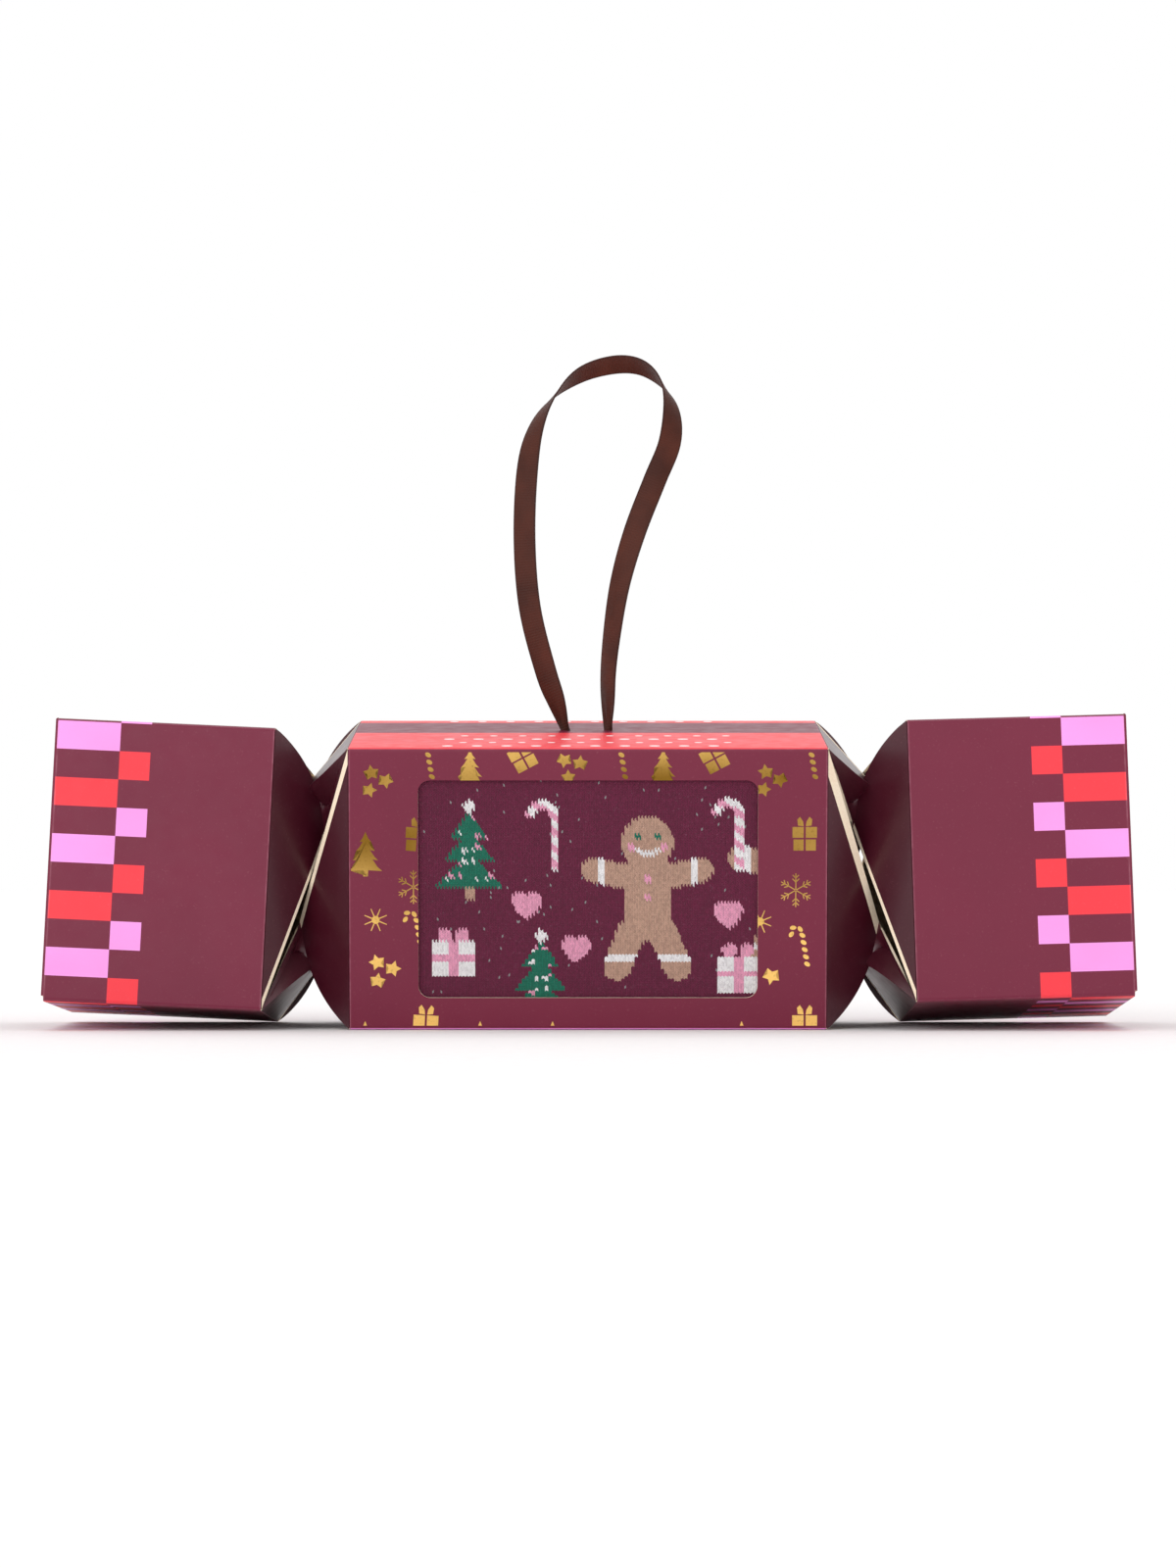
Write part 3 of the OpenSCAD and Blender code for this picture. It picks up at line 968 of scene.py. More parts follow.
@dataclass
class FoldedPanel:
    """One face of a printed box, with half of each rounded fold beside it."""

    carton: Carton
    face: Face
    length: float
    arc_steps: int = 4
    flat_steps: int = 6

    def section(self, share: float) -> Flat:
        """The panel's outline across the box.

        Args:
            share: From zero at the face's lower mitre to one at its upper mitre, in steps of the grid.

        Returns:
            The distance up the face and the distance out from the axis.
        """
        radius = self.carton.fold_r
        flat = self.carton.half - radius
        steps = 2 * self.arc_steps + self.flat_steps
        step = round(share * steps)
        if step <= self.arc_steps:
            turn = math.radians(45) * (step / self.arc_steps - 1)
            return -flat + radius * math.sin(turn), flat + radius * math.cos(turn)
        if step >= steps - self.arc_steps:
            turn = math.radians(45) * (1 - (steps - step) / self.arc_steps)
            return flat + radius * math.sin(turn), flat + radius * math.cos(turn)
        return flat * (2 * (step - self.arc_steps) / self.flat_steps - 1), self.carton.half

    def sheet_place(self, spot: Vector) -> Flat:
        """The place on the printed sheet of a point in the box's axes.

        Args:
            spot: The point.

        Returns:
            The distance along the cracker and round it from the front's top fold.
        """
        half = self.carton.half
        across = {Face.FRONT: spot.z, Face.TOP: spot.y, Face.REAR: -spot.z, Face.BASE: -spot.y}[self.face]
        around = half * (1 - 2 * self.face.value) - across
        return spot.x, around + 8 * half if self.face is Face.BASE else around

    def build(self, name: str, materials: Sequence[Material], place: Matrix) -> Piece:
        """Builds the panel as a closed board.

        Args:
            name: The piece's name.
            materials: Materials in the order of Skin.
            place: From the box's axes to the frame.

        Returns:
            The piece, in the frame.
        """
        piece = self.sheet(name, materials)
        thicken(piece, self.carton.board_t, rim=Skin.PRINT)
        return self.finish(piece, place)

    def sheet(self, name: str, materials: Sequence[Material]) -> Piece:
        """The panel's outer side as an open sheet in the box's axes.

        Args:
            name: The piece's name.
            materials: Materials in the order of Skin.

        Returns:
            The sheet.
        """
        piece = named(grid_piece(6, 2 * self.arc_steps + self.flat_steps), name, materials)

        def shape(spot: Vector) -> Vector:
            """Folds the flat grid."""
            across, out = self.section(spot.y)
            return Vector(((spot.x - 0.5) * self.length, *turned(self.face, across, out)))

        move_vertices(piece, shape)
        return piece

    def finish(self, piece: Piece, place: Matrix) -> Piece:
        """Writes the printed sheet's coordinates, smooths the folds and moves the piece into the frame.

        Args:
            piece: The piece in the box's axes.
            place: From the box's axes to the frame.

        Returns:
            The piece.
        """
        face_outward(piece)
        write_sheet(piece, self.sheet_place)
        put(piece, place)
        shade_folds(piece)
        return piece


def rounded_block(size: Point, at: Point, radius: float, steps: int = 6) -> Piece:
    """Adds a block whose four edges along Y are rounded.

    Args:
        size: Its size.
        at: Its centre.
        radius: Radius of the edges.
        steps: Segments of each.

    Returns:
        The block.
    """
    bpy.ops.object.select_all(action="DESELECT")
    bpy.ops.mesh.primitive_cube_add(size=1.0, location=at)
    block = bpy.context.active_object
    block.scale = size
    bpy.ops.object.transform_apply(location=True, rotation=False, scale=True)
    round_edges(block, lambda first, last: abs((first - last).normalized().y) > 0.9, radius, steps)
    return block


def cut(piece: Piece, cutter: Piece) -> None:
    """Cuts a closed piece with another, which is then deleted.

    Args:
        piece: The piece.
        cutter: What cuts it.
    """
    boolean = piece.modifiers.new("cut", "BOOLEAN")
    boolean.solver = "EXACT"
    boolean.object = cutter
    apply_all(piece)
    bpy.data.objects.remove(cutter)


@dataclass
class NeckStrip:
    """One diagonal strip of a neck: a flat flap on each box and a pleat pushed in between them."""

    carton: Carton
    side: Side
    face: Face
    columns: int = 26
    flap_rows: int = 5
    pleat_rows: int = 6
    margins: Pair = (3.8 * MM, 6.8 * MM)
    end_margin: float = 2.6 * MM
    relief: float = 0.15 * MM
    smooth_below: float = 24.0

    @property
    def gap(self) -> float:
        """The folded neck's length."""
        return self.carton.of(self.carton.gaps, self.side)

    def flap(self, end: bool, face: int, out: float, share: float) -> Vector:
        """A point of a flap.

        Args:
            end: Whether the flap is the end box's.
            face: Which face's crease it hangs on.
            out: Flat distance from the crease, as a share of the flat neck.
            share: Share of the crease from the face's lower corner.

        Returns:
            The point in the frame, on the right side of the cracker.
        """
        carton = self.carton
        middle = carton.half - carton.board_t / 2
        tilt = math.acos(self.gap / carton.neck_flat)
        run = out * carton.neck_flat
        spot = turned(Face(face % 4), (2 * share - 1) * middle, middle - run * math.sin(tilt))
        if end:
            return Vector((-carton.end_len / 2 - run * math.cos(tilt), *spot))
        return Vector((carton.middle_len / 2 + run * math.cos(tilt), *spot))

    def shares(self, w: float) -> Flat:
        """The curved fold at a share of the strip's width, in flat shares.

        Args:
            w: Share of the strip's width.

        Returns:
            Its distance out from the crease, and along the crease.
        """
        carton = self.carton
        meet, rise, box = carton.meet_share, carton.fold_rise, carton.box_w
        chord = math.hypot(meet * carton.neck_flat, (1 - meet) * box)
        bow = 4 * w * (1 - w)
        out = meet * w + rise * (1 - meet) * box / chord / carton.neck_flat * bow
        return out, 1 - (1 - meet) * w + rise * meet * carton.neck_flat / chord / box * bow

    def column(self, w: float) -> list[Vector]:
        """The strip's middle line from the end box's crease to the middle box's.

        Args:
            w: Share of the strip's width, from the corner to the cut.

        Returns:
            Its points in the frame, on the right side.
        """
        carton = self.carton
        end_place = Matrix.Scale(self.side.value, 4, (1, 0, 0)) @ carton.end_place(self.side)
        middle_place = carton.middle_place()
        near, far = self.shares(w), self.shares(1 - w)
        start = end_place @ self.flap(True, self.face.value, 0, 1 - w)
        fold_1 = end_place @ self.flap(True, self.face.value, *near)
        fold_2 = middle_place @ self.flap(False, self.face.value + 1, far[0], 1 - far[1])
        stop = middle_place @ self.flap(False, self.face.value + 1, 0, 1 - w)
        run, rise = 1 - far[0] - near[0], 2 - far[1] - near[1]
        flat_len = math.hypot(run * carton.neck_flat, rise * carton.box_w)
        slack = max(0.0, flat_len**2 - (fold_1 - fold_2).length_squared)
        middle = (fold_1 + fold_2) / 2
        low = middle_place.translation.z
        high = carton.end_height(self.side) - carton.drop(self.side)
        axis = Vector((middle.x, 0, low + (high - low) * (middle.x - carton.middle_len / 2) / self.gap))
        ridge = middle + (axis - middle).normalized() * math.sqrt(slack) / 2
        line: list[Vector] = []
        legs = ((start, fold_1, self.flap_rows), (fold_1, ridge, self.pleat_rows))
        legs += ((ridge, fold_2, self.pleat_rows), (fold_2, stop, self.flap_rows))
        for first, second, rows in legs:
            line += [first.lerp(second, i / rows) for i in range(rows)]
        return [*line, stop]

    def build(self, name: str, materials: Sequence[Material]) -> Piece:
        """Builds the strip as a closed board with a bare margin along both its cuts.

        Args:
            name: The piece's name.
            materials: Materials in the order of Skin.

        Returns:
            The piece, in the frame.
        """
        relief = self.relief / self.carton.box_w
        first = relief + self.carton.of(self.margins, self.side) / self.carton.box_w
        last = 1 - relief - self.end_margin / self.carton.box_w
        inner = self.columns - 2
        widths = [relief, *(first + (last - first) * i / inner for i in range(inner + 1)), 1 - relief]
        lines = [self.column(w) for w in widths]
        rows = len(lines[0]) - 1
        piece = named(grid_piece(rows, self.columns), name, materials)

        def shape(spot: Vector) -> Vector:
            """Puts the flat grid on the strip's lines."""
            point = lines[round(spot.y * self.columns)][round(spot.x * rows)]
            return Vector((point.x * self.side.value, point.y, point.z))

        # The board's core shows along the cut of the long flap at either edge
        for polygon in piece.data.polygons:
            column, row = polygon.center.y * self.columns, polygon.center.x * rows
            on_middle_flap = column < 1 and row > rows - self.flap_rows
            on_end_flap = column > self.columns - 1 and row < self.flap_rows
            if on_middle_flap or on_end_flap:
                polygon.material_index = Skin.CUT.value
        move_vertices(piece, shape)
        self.turn_outward(piece)
        count = len(piece.data.vertices)
        thicken(piece, self.carton.board_t, 0.0, even=False)
        for polygon in piece.data.polygons:
            places = {vertex % count % (rows + 1) for vertex in polygon.vertices}
            if places in ({0}, {rows}):
                polygon.material_index = Skin.PRINT.value
        shade_folds(piece, self.smooth_below)
        return piece

    def turn_outward(self, piece: Piece) -> None:
        """Turns the sheet's faces so that those of the end box's flap look away from the neck's axis.

        Args:
            piece: The strip's sheet in the frame.
        """
        flap = max(piece.data.polygons, key=lambda polygon: abs(polygon.center.x))
        out_y, out_z = turned(self.face, 0.0, 1.0)
        if flap.normal.y * out_y + flap.normal.z * out_z < 0:
            piece.data.flip_normals()


class Outline:
    """Flat traditional ornaments as polygons, each about one unit high and centred on zero."""

    @staticmethod
    def star(points: int = 5, inner: float = 0.5, turn: float = 0.0) -> list[list[Flat]]:
        """A star with its first point up.

        Args:
            points: How many points.
            inner: Inner radius as a share of the outer.
            turn: Turn in radians.

        Returns:
            The outlines.
        """
        corners = []
        for i in range(2 * points):
            radius = 0.5 * (inner if i % 2 else 1.0)
            angle = math.pi * i / points + turn
            corners.append((radius * math.sin(angle), radius * math.cos(angle)))
        return [corners]

    @staticmethod
    def bar(start: Flat, stop: Flat, width: float, taper: float = 1.0) -> list[Flat]:
        """A straight bar between two points, which may narrow to its end.

        Args:
            start: Where it starts.
            stop: Where it ends.
            width: Its width at the start.
            taper: Width at the end as a share of the start's.

        Returns:
            Its four corners.
        """
        along = Vector((stop[0] - start[0], stop[1] - start[1])).normalized()
        side = Vector((-along.y, along.x)) * width / 2
        return [
            (start[0] - side.x, start[1] - side.y),
            (stop[0] - side.x * taper, stop[1] - side.y * taper),
            (stop[0] + side.x * taper, stop[1] + side.y * taper),
            (start[0] + side.x, start[1] + side.y),
        ]

    @staticmethod
    def three_stars() -> list[list[Flat]]:
        """Three stars in a loose group.

        Returns:
            The outlines.
        """
        shapes = []
        spots = ((-0.14, 0.27, 0.5, -0.15), (0.3, 0.02, 0.5, 0.45), (-0.2, -0.27, 0.48, 0.3))
        for x, y, size, turn in spots:
            shapes += [[(x + a * size, y + b * size) for a, b in Outline.star(5, 0.52, turn)[0]]]
        return shapes

    @staticmethod
    def tree() -> list[list[Flat]]:
        """A fir tree of four ragged tiers and a trunk.

        Returns:
            The outlines.
        """
        right = [(0.0, 0.5), (0.06, 0.36), (0.13, 0.27), (0.06, 0.28), (0.13, 0.16), (0.21, 0.07)]
        right += [(0.1, 0.09), (0.2, -0.06), (0.28, -0.14), (0.16, -0.12), (0.26, -0.28), (0.37, -0.38)]
        right += [(0.06, -0.36), (0.05, -0.5)]
        return [right + [(-x, y) for x, y in reversed(right[1:])]]

    @staticmethod
    def burst() -> list[list[Flat]]:
        """Eight tapering rays round a small disc.

        Returns:
            The outlines.
        """
        shapes = []
        for i in range(8):
            angle = math.pi * (i + 0.5) / 4
            tip = (0.5 * math.sin(angle), 0.5 * math.cos(angle))
            shapes.append(Outline.bar((tip[0] * 0.3, tip[1] * 0.3), tip, 0.05, 0.7))
        ring = [math.pi * i / 6 for i in range(12)]
        shapes.append([(0.17 * math.sin(angle), 0.17 * math.cos(angle)) for angle in ring])
        return shapes

    @staticmethod
    def snowflake() -> list[list[Flat]]:
        """Six arms with two pairs of twigs.

        Returns:
            The outlines.
        """
        shapes = []
        for i in range(6):
            turn = Matrix.Rotation(math.pi * i / 3, 2)
            lines = [((0, 0.02), (0, 0.5))]
            for root, reach in ((0.24, 0.1), (0.36, 0.09)):
                lines += [((0, root), (s * reach, root + reach)) for s in (-1, 1)]
            for first, last in lines:
                shapes.append(Outline.bar(tuple(turn @ Vector(first)), tuple(turn @ Vector(last)), 0.028))
        return shapes

    @staticmethod
    def gift() -> list[list[Flat]]:
        """A parcel in four quarters with a bow of two loops.

        Returns:
            The outlines.
        """
        shapes = []
        for s in (-1, 1):
            shapes.append([(s * 0.03, -0.5), (s * 0.33, -0.5), (s * 0.33, -0.17), (s * 0.03, -0.17)])
            shapes.append([(s * 0.03, -0.12), (s * 0.36, -0.12), (s * 0.36, 0.2), (s * 0.03, 0.2)])
            bow = [(0.03, 0.22), (0.2, 0.24), (0.22, 0.42), (0.14, 0.5), (0.05, 0.36)]
            shapes.append([(s * x, y) for x, y in bow])
        return shapes

    @staticmethod
    def cane() -> list[list[Flat]]:
        """A striped cane as a row of slanting bars round its hook.

        Returns:
            The outlines.
        """
        shapes = []
        spots = [(-0.15, 0.26, 0.9), (-0.11, 0.41, 0.1), (0.05, 0.38, -0.9)]
        spots += [(0.1 + 0.028 * i, 0.24 - 0.165 * i, -0.55) for i in range(5)]
        for x, y, turn in spots:
            cos, sin = math.cos(turn), math.sin(turn)
            lens = [(0.075 * math.cos(a), 0.05 * math.sin(a)) for a in (math.pi * k / 5 for k in range(10))]
            shapes.append([(x + a * cos - b * sin, y + a * sin + b * cos) for a, b in lens])
        return shapes

    @staticmethod
    def tip() -> list[list[Flat]]:
        """The top of a tree that the fold cuts off."""
        return [[(0.0, 0.5), (0.4, -0.5), (-0.4, -0.5)]]


@dataclass(frozen=True)
class Motif:
    """A stamped ornament: shape, place on the front and height in millimetres, and turn in degrees."""

    shape: Callable[[], list[list[Flat]]]
    x: float
    up: float
    size: float
    turn: float = 0.0


@dataclass
class FoilPrint:
    """The gold ornaments stamped on the front, cut off by the window and the folds."""

    thickness: float = 0.025 * MM
    sink: float = 0.01 * MM
    edge_gap: float = 0.5 * MM
    motifs: tuple[Motif, ...] = (
        Motif(Outline.three_stars, -53.6, 27.5, 8.2),
        Motif(Outline.three_stars, 46.0, 27.7, 8.2),
        Motif(Outline.three_stars, -52.0, -20.8, 8.6, 8),
        Motif(Outline.star, 46.5, -22.2, 4.6, 25),
        Motif(Outline.tree, -56.3, 9.0, 11.4),
        Motif(Outline.tree, -29.8, 30.2, 11.0),
        Motif(Outline.tree, 19.0, 30.2, 11.0),
        Motif(Outline.burst, -53.8, -7.8, 6.1),
        Motif(Outline.burst, 43.6, -8.2, 6.1),
        Motif(Outline.snowflake, 52.6, -0.2, 8.6),
        Motif(Outline.snowflake, -44.2, 0.6, 8.6),
        Motif(Outline.gift, 54.8, 14.2, 8.6),
        Motif(Outline.gift, -43.0, 14.0, 8.6, -4),
        Motif(Outline.gift, 55.0, -34.0, 8.8),
        Motif(Outline.gift, -41.2, -34.0, 8.8, -3),
        Motif(Outline.gift, -17.0, 34.6, 8.6, 28),
        Motif(Outline.gift, 31.4, 34.4, 8.6, 28),
        Motif(Outline.cane, 53.2, -14.4, 11.2),
        Motif(Outline.cane, -44.6, -10.6, 11.2),
        Motif(Outline.cane, 55.0, 33.4, 11.2),
        Motif(Outline.cane, -41.8, 33.4, 11.2),
        Motif(Outline.cane, 7.0, 33.4, 11.2),
        Motif(Outline.three_stars, -4.2, 31.2, 8.0, 20),
        Motif(Outline.tip, -56.6, -34.8, 2.2),
        Motif(Outline.tip, -27.4, -34.8, 2.2),
        Motif(Outline.tip, -9.0, -34.8, 2.2),
        Motif(Outline.tip, 39.0, -34.8, 2.2),
    )

    @staticmethod
    def clip(corners: Sequence[Flat], axis: int, limit: float, keep: int) -> list[Flat]:
        """Keeps the part of an outline on one side of an upright or level line.

        Args:
            corners: The outline.
            axis: 0 for a limit in x, 1 in z.
            limit: Where the line lies.
            keep: 1 keeps what lies above the limit, -1 what lies below.

        Returns:
            The clipped outline, which may be empty.
        """
        made = []
        for i, here in enumerate(corners):
            before = corners[i - 1]
            inside, was = keep * (here[axis] - limit) >= 0, keep * (before[axis] - limit) >= 0
            if inside != was:
                share = (limit - before[axis]) / (here[axis] - before[axis])
                made.append(tuple(a + (b - a) * share for a, b in zip(before, here)))
            if inside:
                made.append(here)
        return made

    def outside_window(self, corners: list[Flat], reach: Flat, window: Flat) -> list[list[Flat]]:
        """Cuts an outline off at the face's edges and at the window.

        Args:
            corners: The outline.
            reach: Half sizes of the face.
            window: Half sizes of the window.

        Returns:
            What is left of the outline, in up to four parts.
        """
        for axis in (0, 1):
            for keep in (-1, 1):
                corners = self.clip(corners, axis, -keep * reach[axis], keep)
        beside = [self.clip(corners, 0, sign * window[0], sign) for sign in (-1, 1)]
        between = self.clip(self.clip(corners, 0, -window[0], 1), 0, window[0], -1)
        beyond = [self.clip(between, 1, sign * window[1], sign) for sign in (-1, 1)]
        return [part for part in beside + beyond if len(part) > 2]

    def plates(self, shapes: Iterable[Sequence[Flat]], name: str) -> Piece:
        """Turns outlines in metres into thin closed plates facing the front.

        Args:
            shapes: Outlines in x and z.
            name: The piece's name.

        Returns:
            The piece, whose front is its thickness before y = 0 and whose back is sunk behind it.
        """
        mesh = bmesh.new()
        for corners in shapes:
            front = [mesh.verts.new((x, -self.thickness, z)) for x, z in corners]
            back = [mesh.verts.new((x, self.sink, z)) for x, z in corners]
            mesh.faces.new(front)
            mesh.faces.new(back[::-1])
            for i, vertex in enumerate(front):
                j = (i + 1) % len(front)
                mesh.faces.new([vertex, back[i], back[j], front[j]])
        bmesh.ops.triangulate(mesh, faces=[face for face in mesh.faces if len(face.verts) > 4])
        bmesh.ops.recalc_face_normals(mesh, faces=mesh.faces)
        piece = mesh_piece(name, [], [])
        mesh.to_mesh(piece.data)
        mesh.free()
        return piece

    def build(self, carton: Carton, material: Material) -> Piece:
        """Builds every ornament as one foil piece on the front.

        Args:
            carton: The box's sizes.
            material: The foil.

        Returns:
            The piece, in the middle box's axes.
        """
        shapes = []
        reach = (carton.middle_len / 2 - self.edge_gap, carton.half - carton.fold_r)
        window = (carton.window[0] / 2, carton.window[2] / 2)
        for motif in self.motifs:
            turn = Matrix.Rotation(math.radians(motif.turn), 2)
            for outline in motif.shape():
                spots = [turn @ Vector(corner) * motif.size * MM for corner in outline]
                corners = [(motif.x * MM + s.x, motif.up * MM + s.y) for s in spots]
                shapes += self.outside_window(corners, reach, window)
        piece = named(self.plates(shapes, "gold_foil_ornaments"), "gold_foil_ornaments", [material])
        piece.data.transform(Matrix.Translation((0, -carton.half, 0)))
        return piece


@dataclass
class WhiteDots:
    """Rows of white dots printed on the red bands, each row by its place from the front and its radius."""

    rows: tuple[Pair, ...] = (
        (5.0 * MM, 1.4 * MM), (13.5 * MM, 1.0 * MM), (22.0 * MM, 1.4 * MM), (30.5 * MM, 1.0 * MM),
        (68.6 * MM, 1.2 * MM),
    )  # fmt: skip
    pitch: float = 7.5 * MM
    reach: float = 34.0 * MM
    corners: int = 10

    def build(self, carton: Carton, foil: FoilPrint, material: Material) -> Piece:
        """Builds the dots on the top face, in the middle box's axes.

        Args:
            carton: The box's sizes.
            foil: Makes the plates.
            material: The white ink.

        Returns:
            The piece.
        """
        shapes = []
        ring = [2 * math.pi * k / self.corners for k in range(self.corners)]
        count = int(2 * self.reach / self.pitch)
        for number, (back, radius) in enumerate(self.rows):
            stagger = self.pitch / 4 if number % 2 else -self.pitch / 4
            for i in range(count + 1):
                x, y = (i - count / 2) * self.pitch + stagger, back - carton.half
                shapes.append([(x + radius * math.cos(a), y + radius * math.sin(a)) for a in ring])
        piece = named(foil.plates(shapes, "white_dots"), "white_dots", [material])
        move_vertices(piece, lambda spot: Vector((spot.x, spot.z, carton.half - spot.y)))
        face_outward(piece)
        return piece


def assign_by_normal(piece: Piece, choose: Callable[[Vector], Skin]) -> None:
    """Gives each face the surface that its direction calls for."""
    for polygon in piece.data.polygons:
        polygon.material_index = choose(polygon.normal).value


@dataclass
class Closure:
    """The outer end of an end box: a lid with a tuck tab over two dust flaps."""

    carton: Carton
    side: Side
    plates: Callable[[Iterable[Sequence[Flat]], str], Piece]
    tuck_len: float = 14 * MM
    tuck_turn: float = 8.0
    tuck_clear: float = 0.8 * MM
    tuck_side_gap: float = 1 * MM
    tuck_r: float = 6 * MM
    dust_len: float = 30 * MM
    dust_low: float = 5.5 * MM
    dust_high: float = 1.5 * MM
    dust_gap: float = 0.3 * MM
    fold_r: float = 0.5 * MM
    fold_steps: int = 4
    arc_steps: int = 8
    tiny: float = 0.01 * MM

    @property
    def lid_low(self) -> float:
        """Height of the lid's lower edge over the box's axis."""
        return self.tuck_clear - self.carton.inner_half

    def board(
        self, name: str, outline: Sequence[Flat], materials: Sequence[Material]
    ) -> Piece:
        """A flat board of the carton's thickness, standing across the box from x = 0 outwards.

        Args:
            name: Its name.
            outline: Its outline in y and z.
            materials: Materials in the order of Skin.

        Returns:
            The piece.
        """
        piece = named(self.plates([outline], name), name, materials)
        board = self.carton.board_t
        move_vertices(piece, lambda spot: Vector((board if spot.y < 0 else 0.0, spot.x, spot.z)))
        face_outward(piece)
        return piece

    def lid(self, materials: Sequence[Material]) -> Piece:
        """Builds the lid, with its fold along the top wall.

        Args:
            materials: Materials in the order of Skin.

        Returns:
            The piece, in the frame.
        """
        half = self.carton.half
        outline = [(-half, self.lid_low), (half, self.lid_low), (half, half), (-half, half)]
        piece = self.board(f"{self.side.label}_lid_board", outline, materials)
        assign_by_normal(
            piece, lambda n: Skin.INNER if n.x < -0.5 else Skin.CUT if n.z < -0.5 else Skin.PRINT
        )

        def on_fold(*ends: Vector) -> bool:
            """Whether an edge is the lid's outer upper one."""
            return all(spot.z > half - self.tiny and spot.x > self.tiny for spot in ends)

        round_edges(piece, on_fold, self.fold_r, self.fold_steps)
        piece.data.transform(Matrix.Translation((self.carton.end_len / 2, 0, 0)))
        return put(piece, self.carton.end_place(self.side))

    def tab(self, materials: Sequence[Material]) -> Piece:
        """Builds the tuck tab on the lid's lower edge.

        Args:
            materials: Materials in the order of Skin.

        Returns:
            The piece, in the frame.
        """
        half = self.carton.inner_half - self.tuck_side_gap
        far = -self.tuck_len
        outline = [(-half, -self.carton.board_t), (half, -self.carton.board_t)]
        for sign in (1, -1):
            for step in range(self.arc_steps + 1)[::sign]:
                angle = math.radians(90 * step / self.arc_steps)
                across = half - self.tuck_r + self.tuck_r * math.cos(angle)
                outline.append((sign * across, far + self.tuck_r - self.tuck_r * math.sin(angle)))
        piece = self.board(f"{self.side.label}_tuck_board", outline, materials)
        # The plate lies flat, with its printed side down and its root at the lid
        move_vertices(piece, lambda spot: Vector((spot.z, spot.y, spot.x)))
        face_outward(piece)
        assign_by_normal(
            piece, lambda n: Skin.PRINT if n.z < -0.5 else Skin.INNER if n.z > 0.5 else Skin.CUT
        )
        turn = Matrix.Rotation(math.radians(self.tuck_turn), 4, "Y")
        piece.data.transform(Matrix.Translation((self.carton.end_len / 2, 0, self.lid_low)) @ turn)
        return put(piece, self.carton.end_place(self.side))

    def dust_flap(self, face: Face, materials: Sequence[Material]) -> Piece:
        """Builds the dust flap hinged on the front or rear wall.

        Args:
            face: The wall.
            materials: Materials in the order of Skin.

        Returns:
            The piece, in the frame.
        """
        low = self.dust_low - self.carton.inner_half
        high = self.carton.inner_half - self.dust_high
        reach, slope = self.dust_len, self.dust_low
        corners = [(0.0, low), (reach - slope, low), (reach, low + slope)]
        corners += [(reach, high - slope), (reach - slope, high), (0.0, high)]
        sign = 1 if face is Face.FRONT else -1
        outline = [(sign * (y - self.carton.inner_half), z) for y, z in corners]
        piece = self.board(f"{self.side.label}_{face.name.lower()}_dust_board", outline, materials)
        assign_by_normal(
            piece, lambda n: Skin.INNER if n.x < -0.5 else Skin.PRINT if n.x > 0.5 else Skin.CUT
        )
        out = self.carton.end_len / 2 - self.dust_gap - self.carton.board_t
        piece.data.transform(Matrix.Translation((out, 0, 0)))
        return put(piece, self.carton.end_place(self.side))


# The loop's route from one hole to the other in millimetres: across, back and up from
# between the holes, and the band's turn about its own line in degrees
RIBBON_ROUTE: tuple[tuple[float, float, float, float], ...] = (
    (-5.5, 0, 0, 55), (-8.2, 0, 7.5, 38), (-11.2, 0.5, 16, 25), (-15.3, 1, 32.5, 20), (-16.7, 1.5, 50.5, 20),
    (-16, 2, 68.5, 24), (-13.8, 2, 79.5, 50), (-9.2, 1.5, 87.5, 84), (-2, 1, 93.6, 122), (6.7, 0, 96.2, 134),
    (13.8, -1, 95.5, 124), (19, -2, 91.3, 96), (21.8, -2.5, 84.5, 50), (21.4, -2.5, 75.5, 14),
    (17.4, -2, 65.5, 0), (12.3, -1.5, 52.5, -14), (8.5, -1, 39.5, -30), (6.3, -0.5, 26.5, -42),
    (5.1, 0, 13.5, -52), (5.5, 0, 0, -58),
)  # fmt: skip


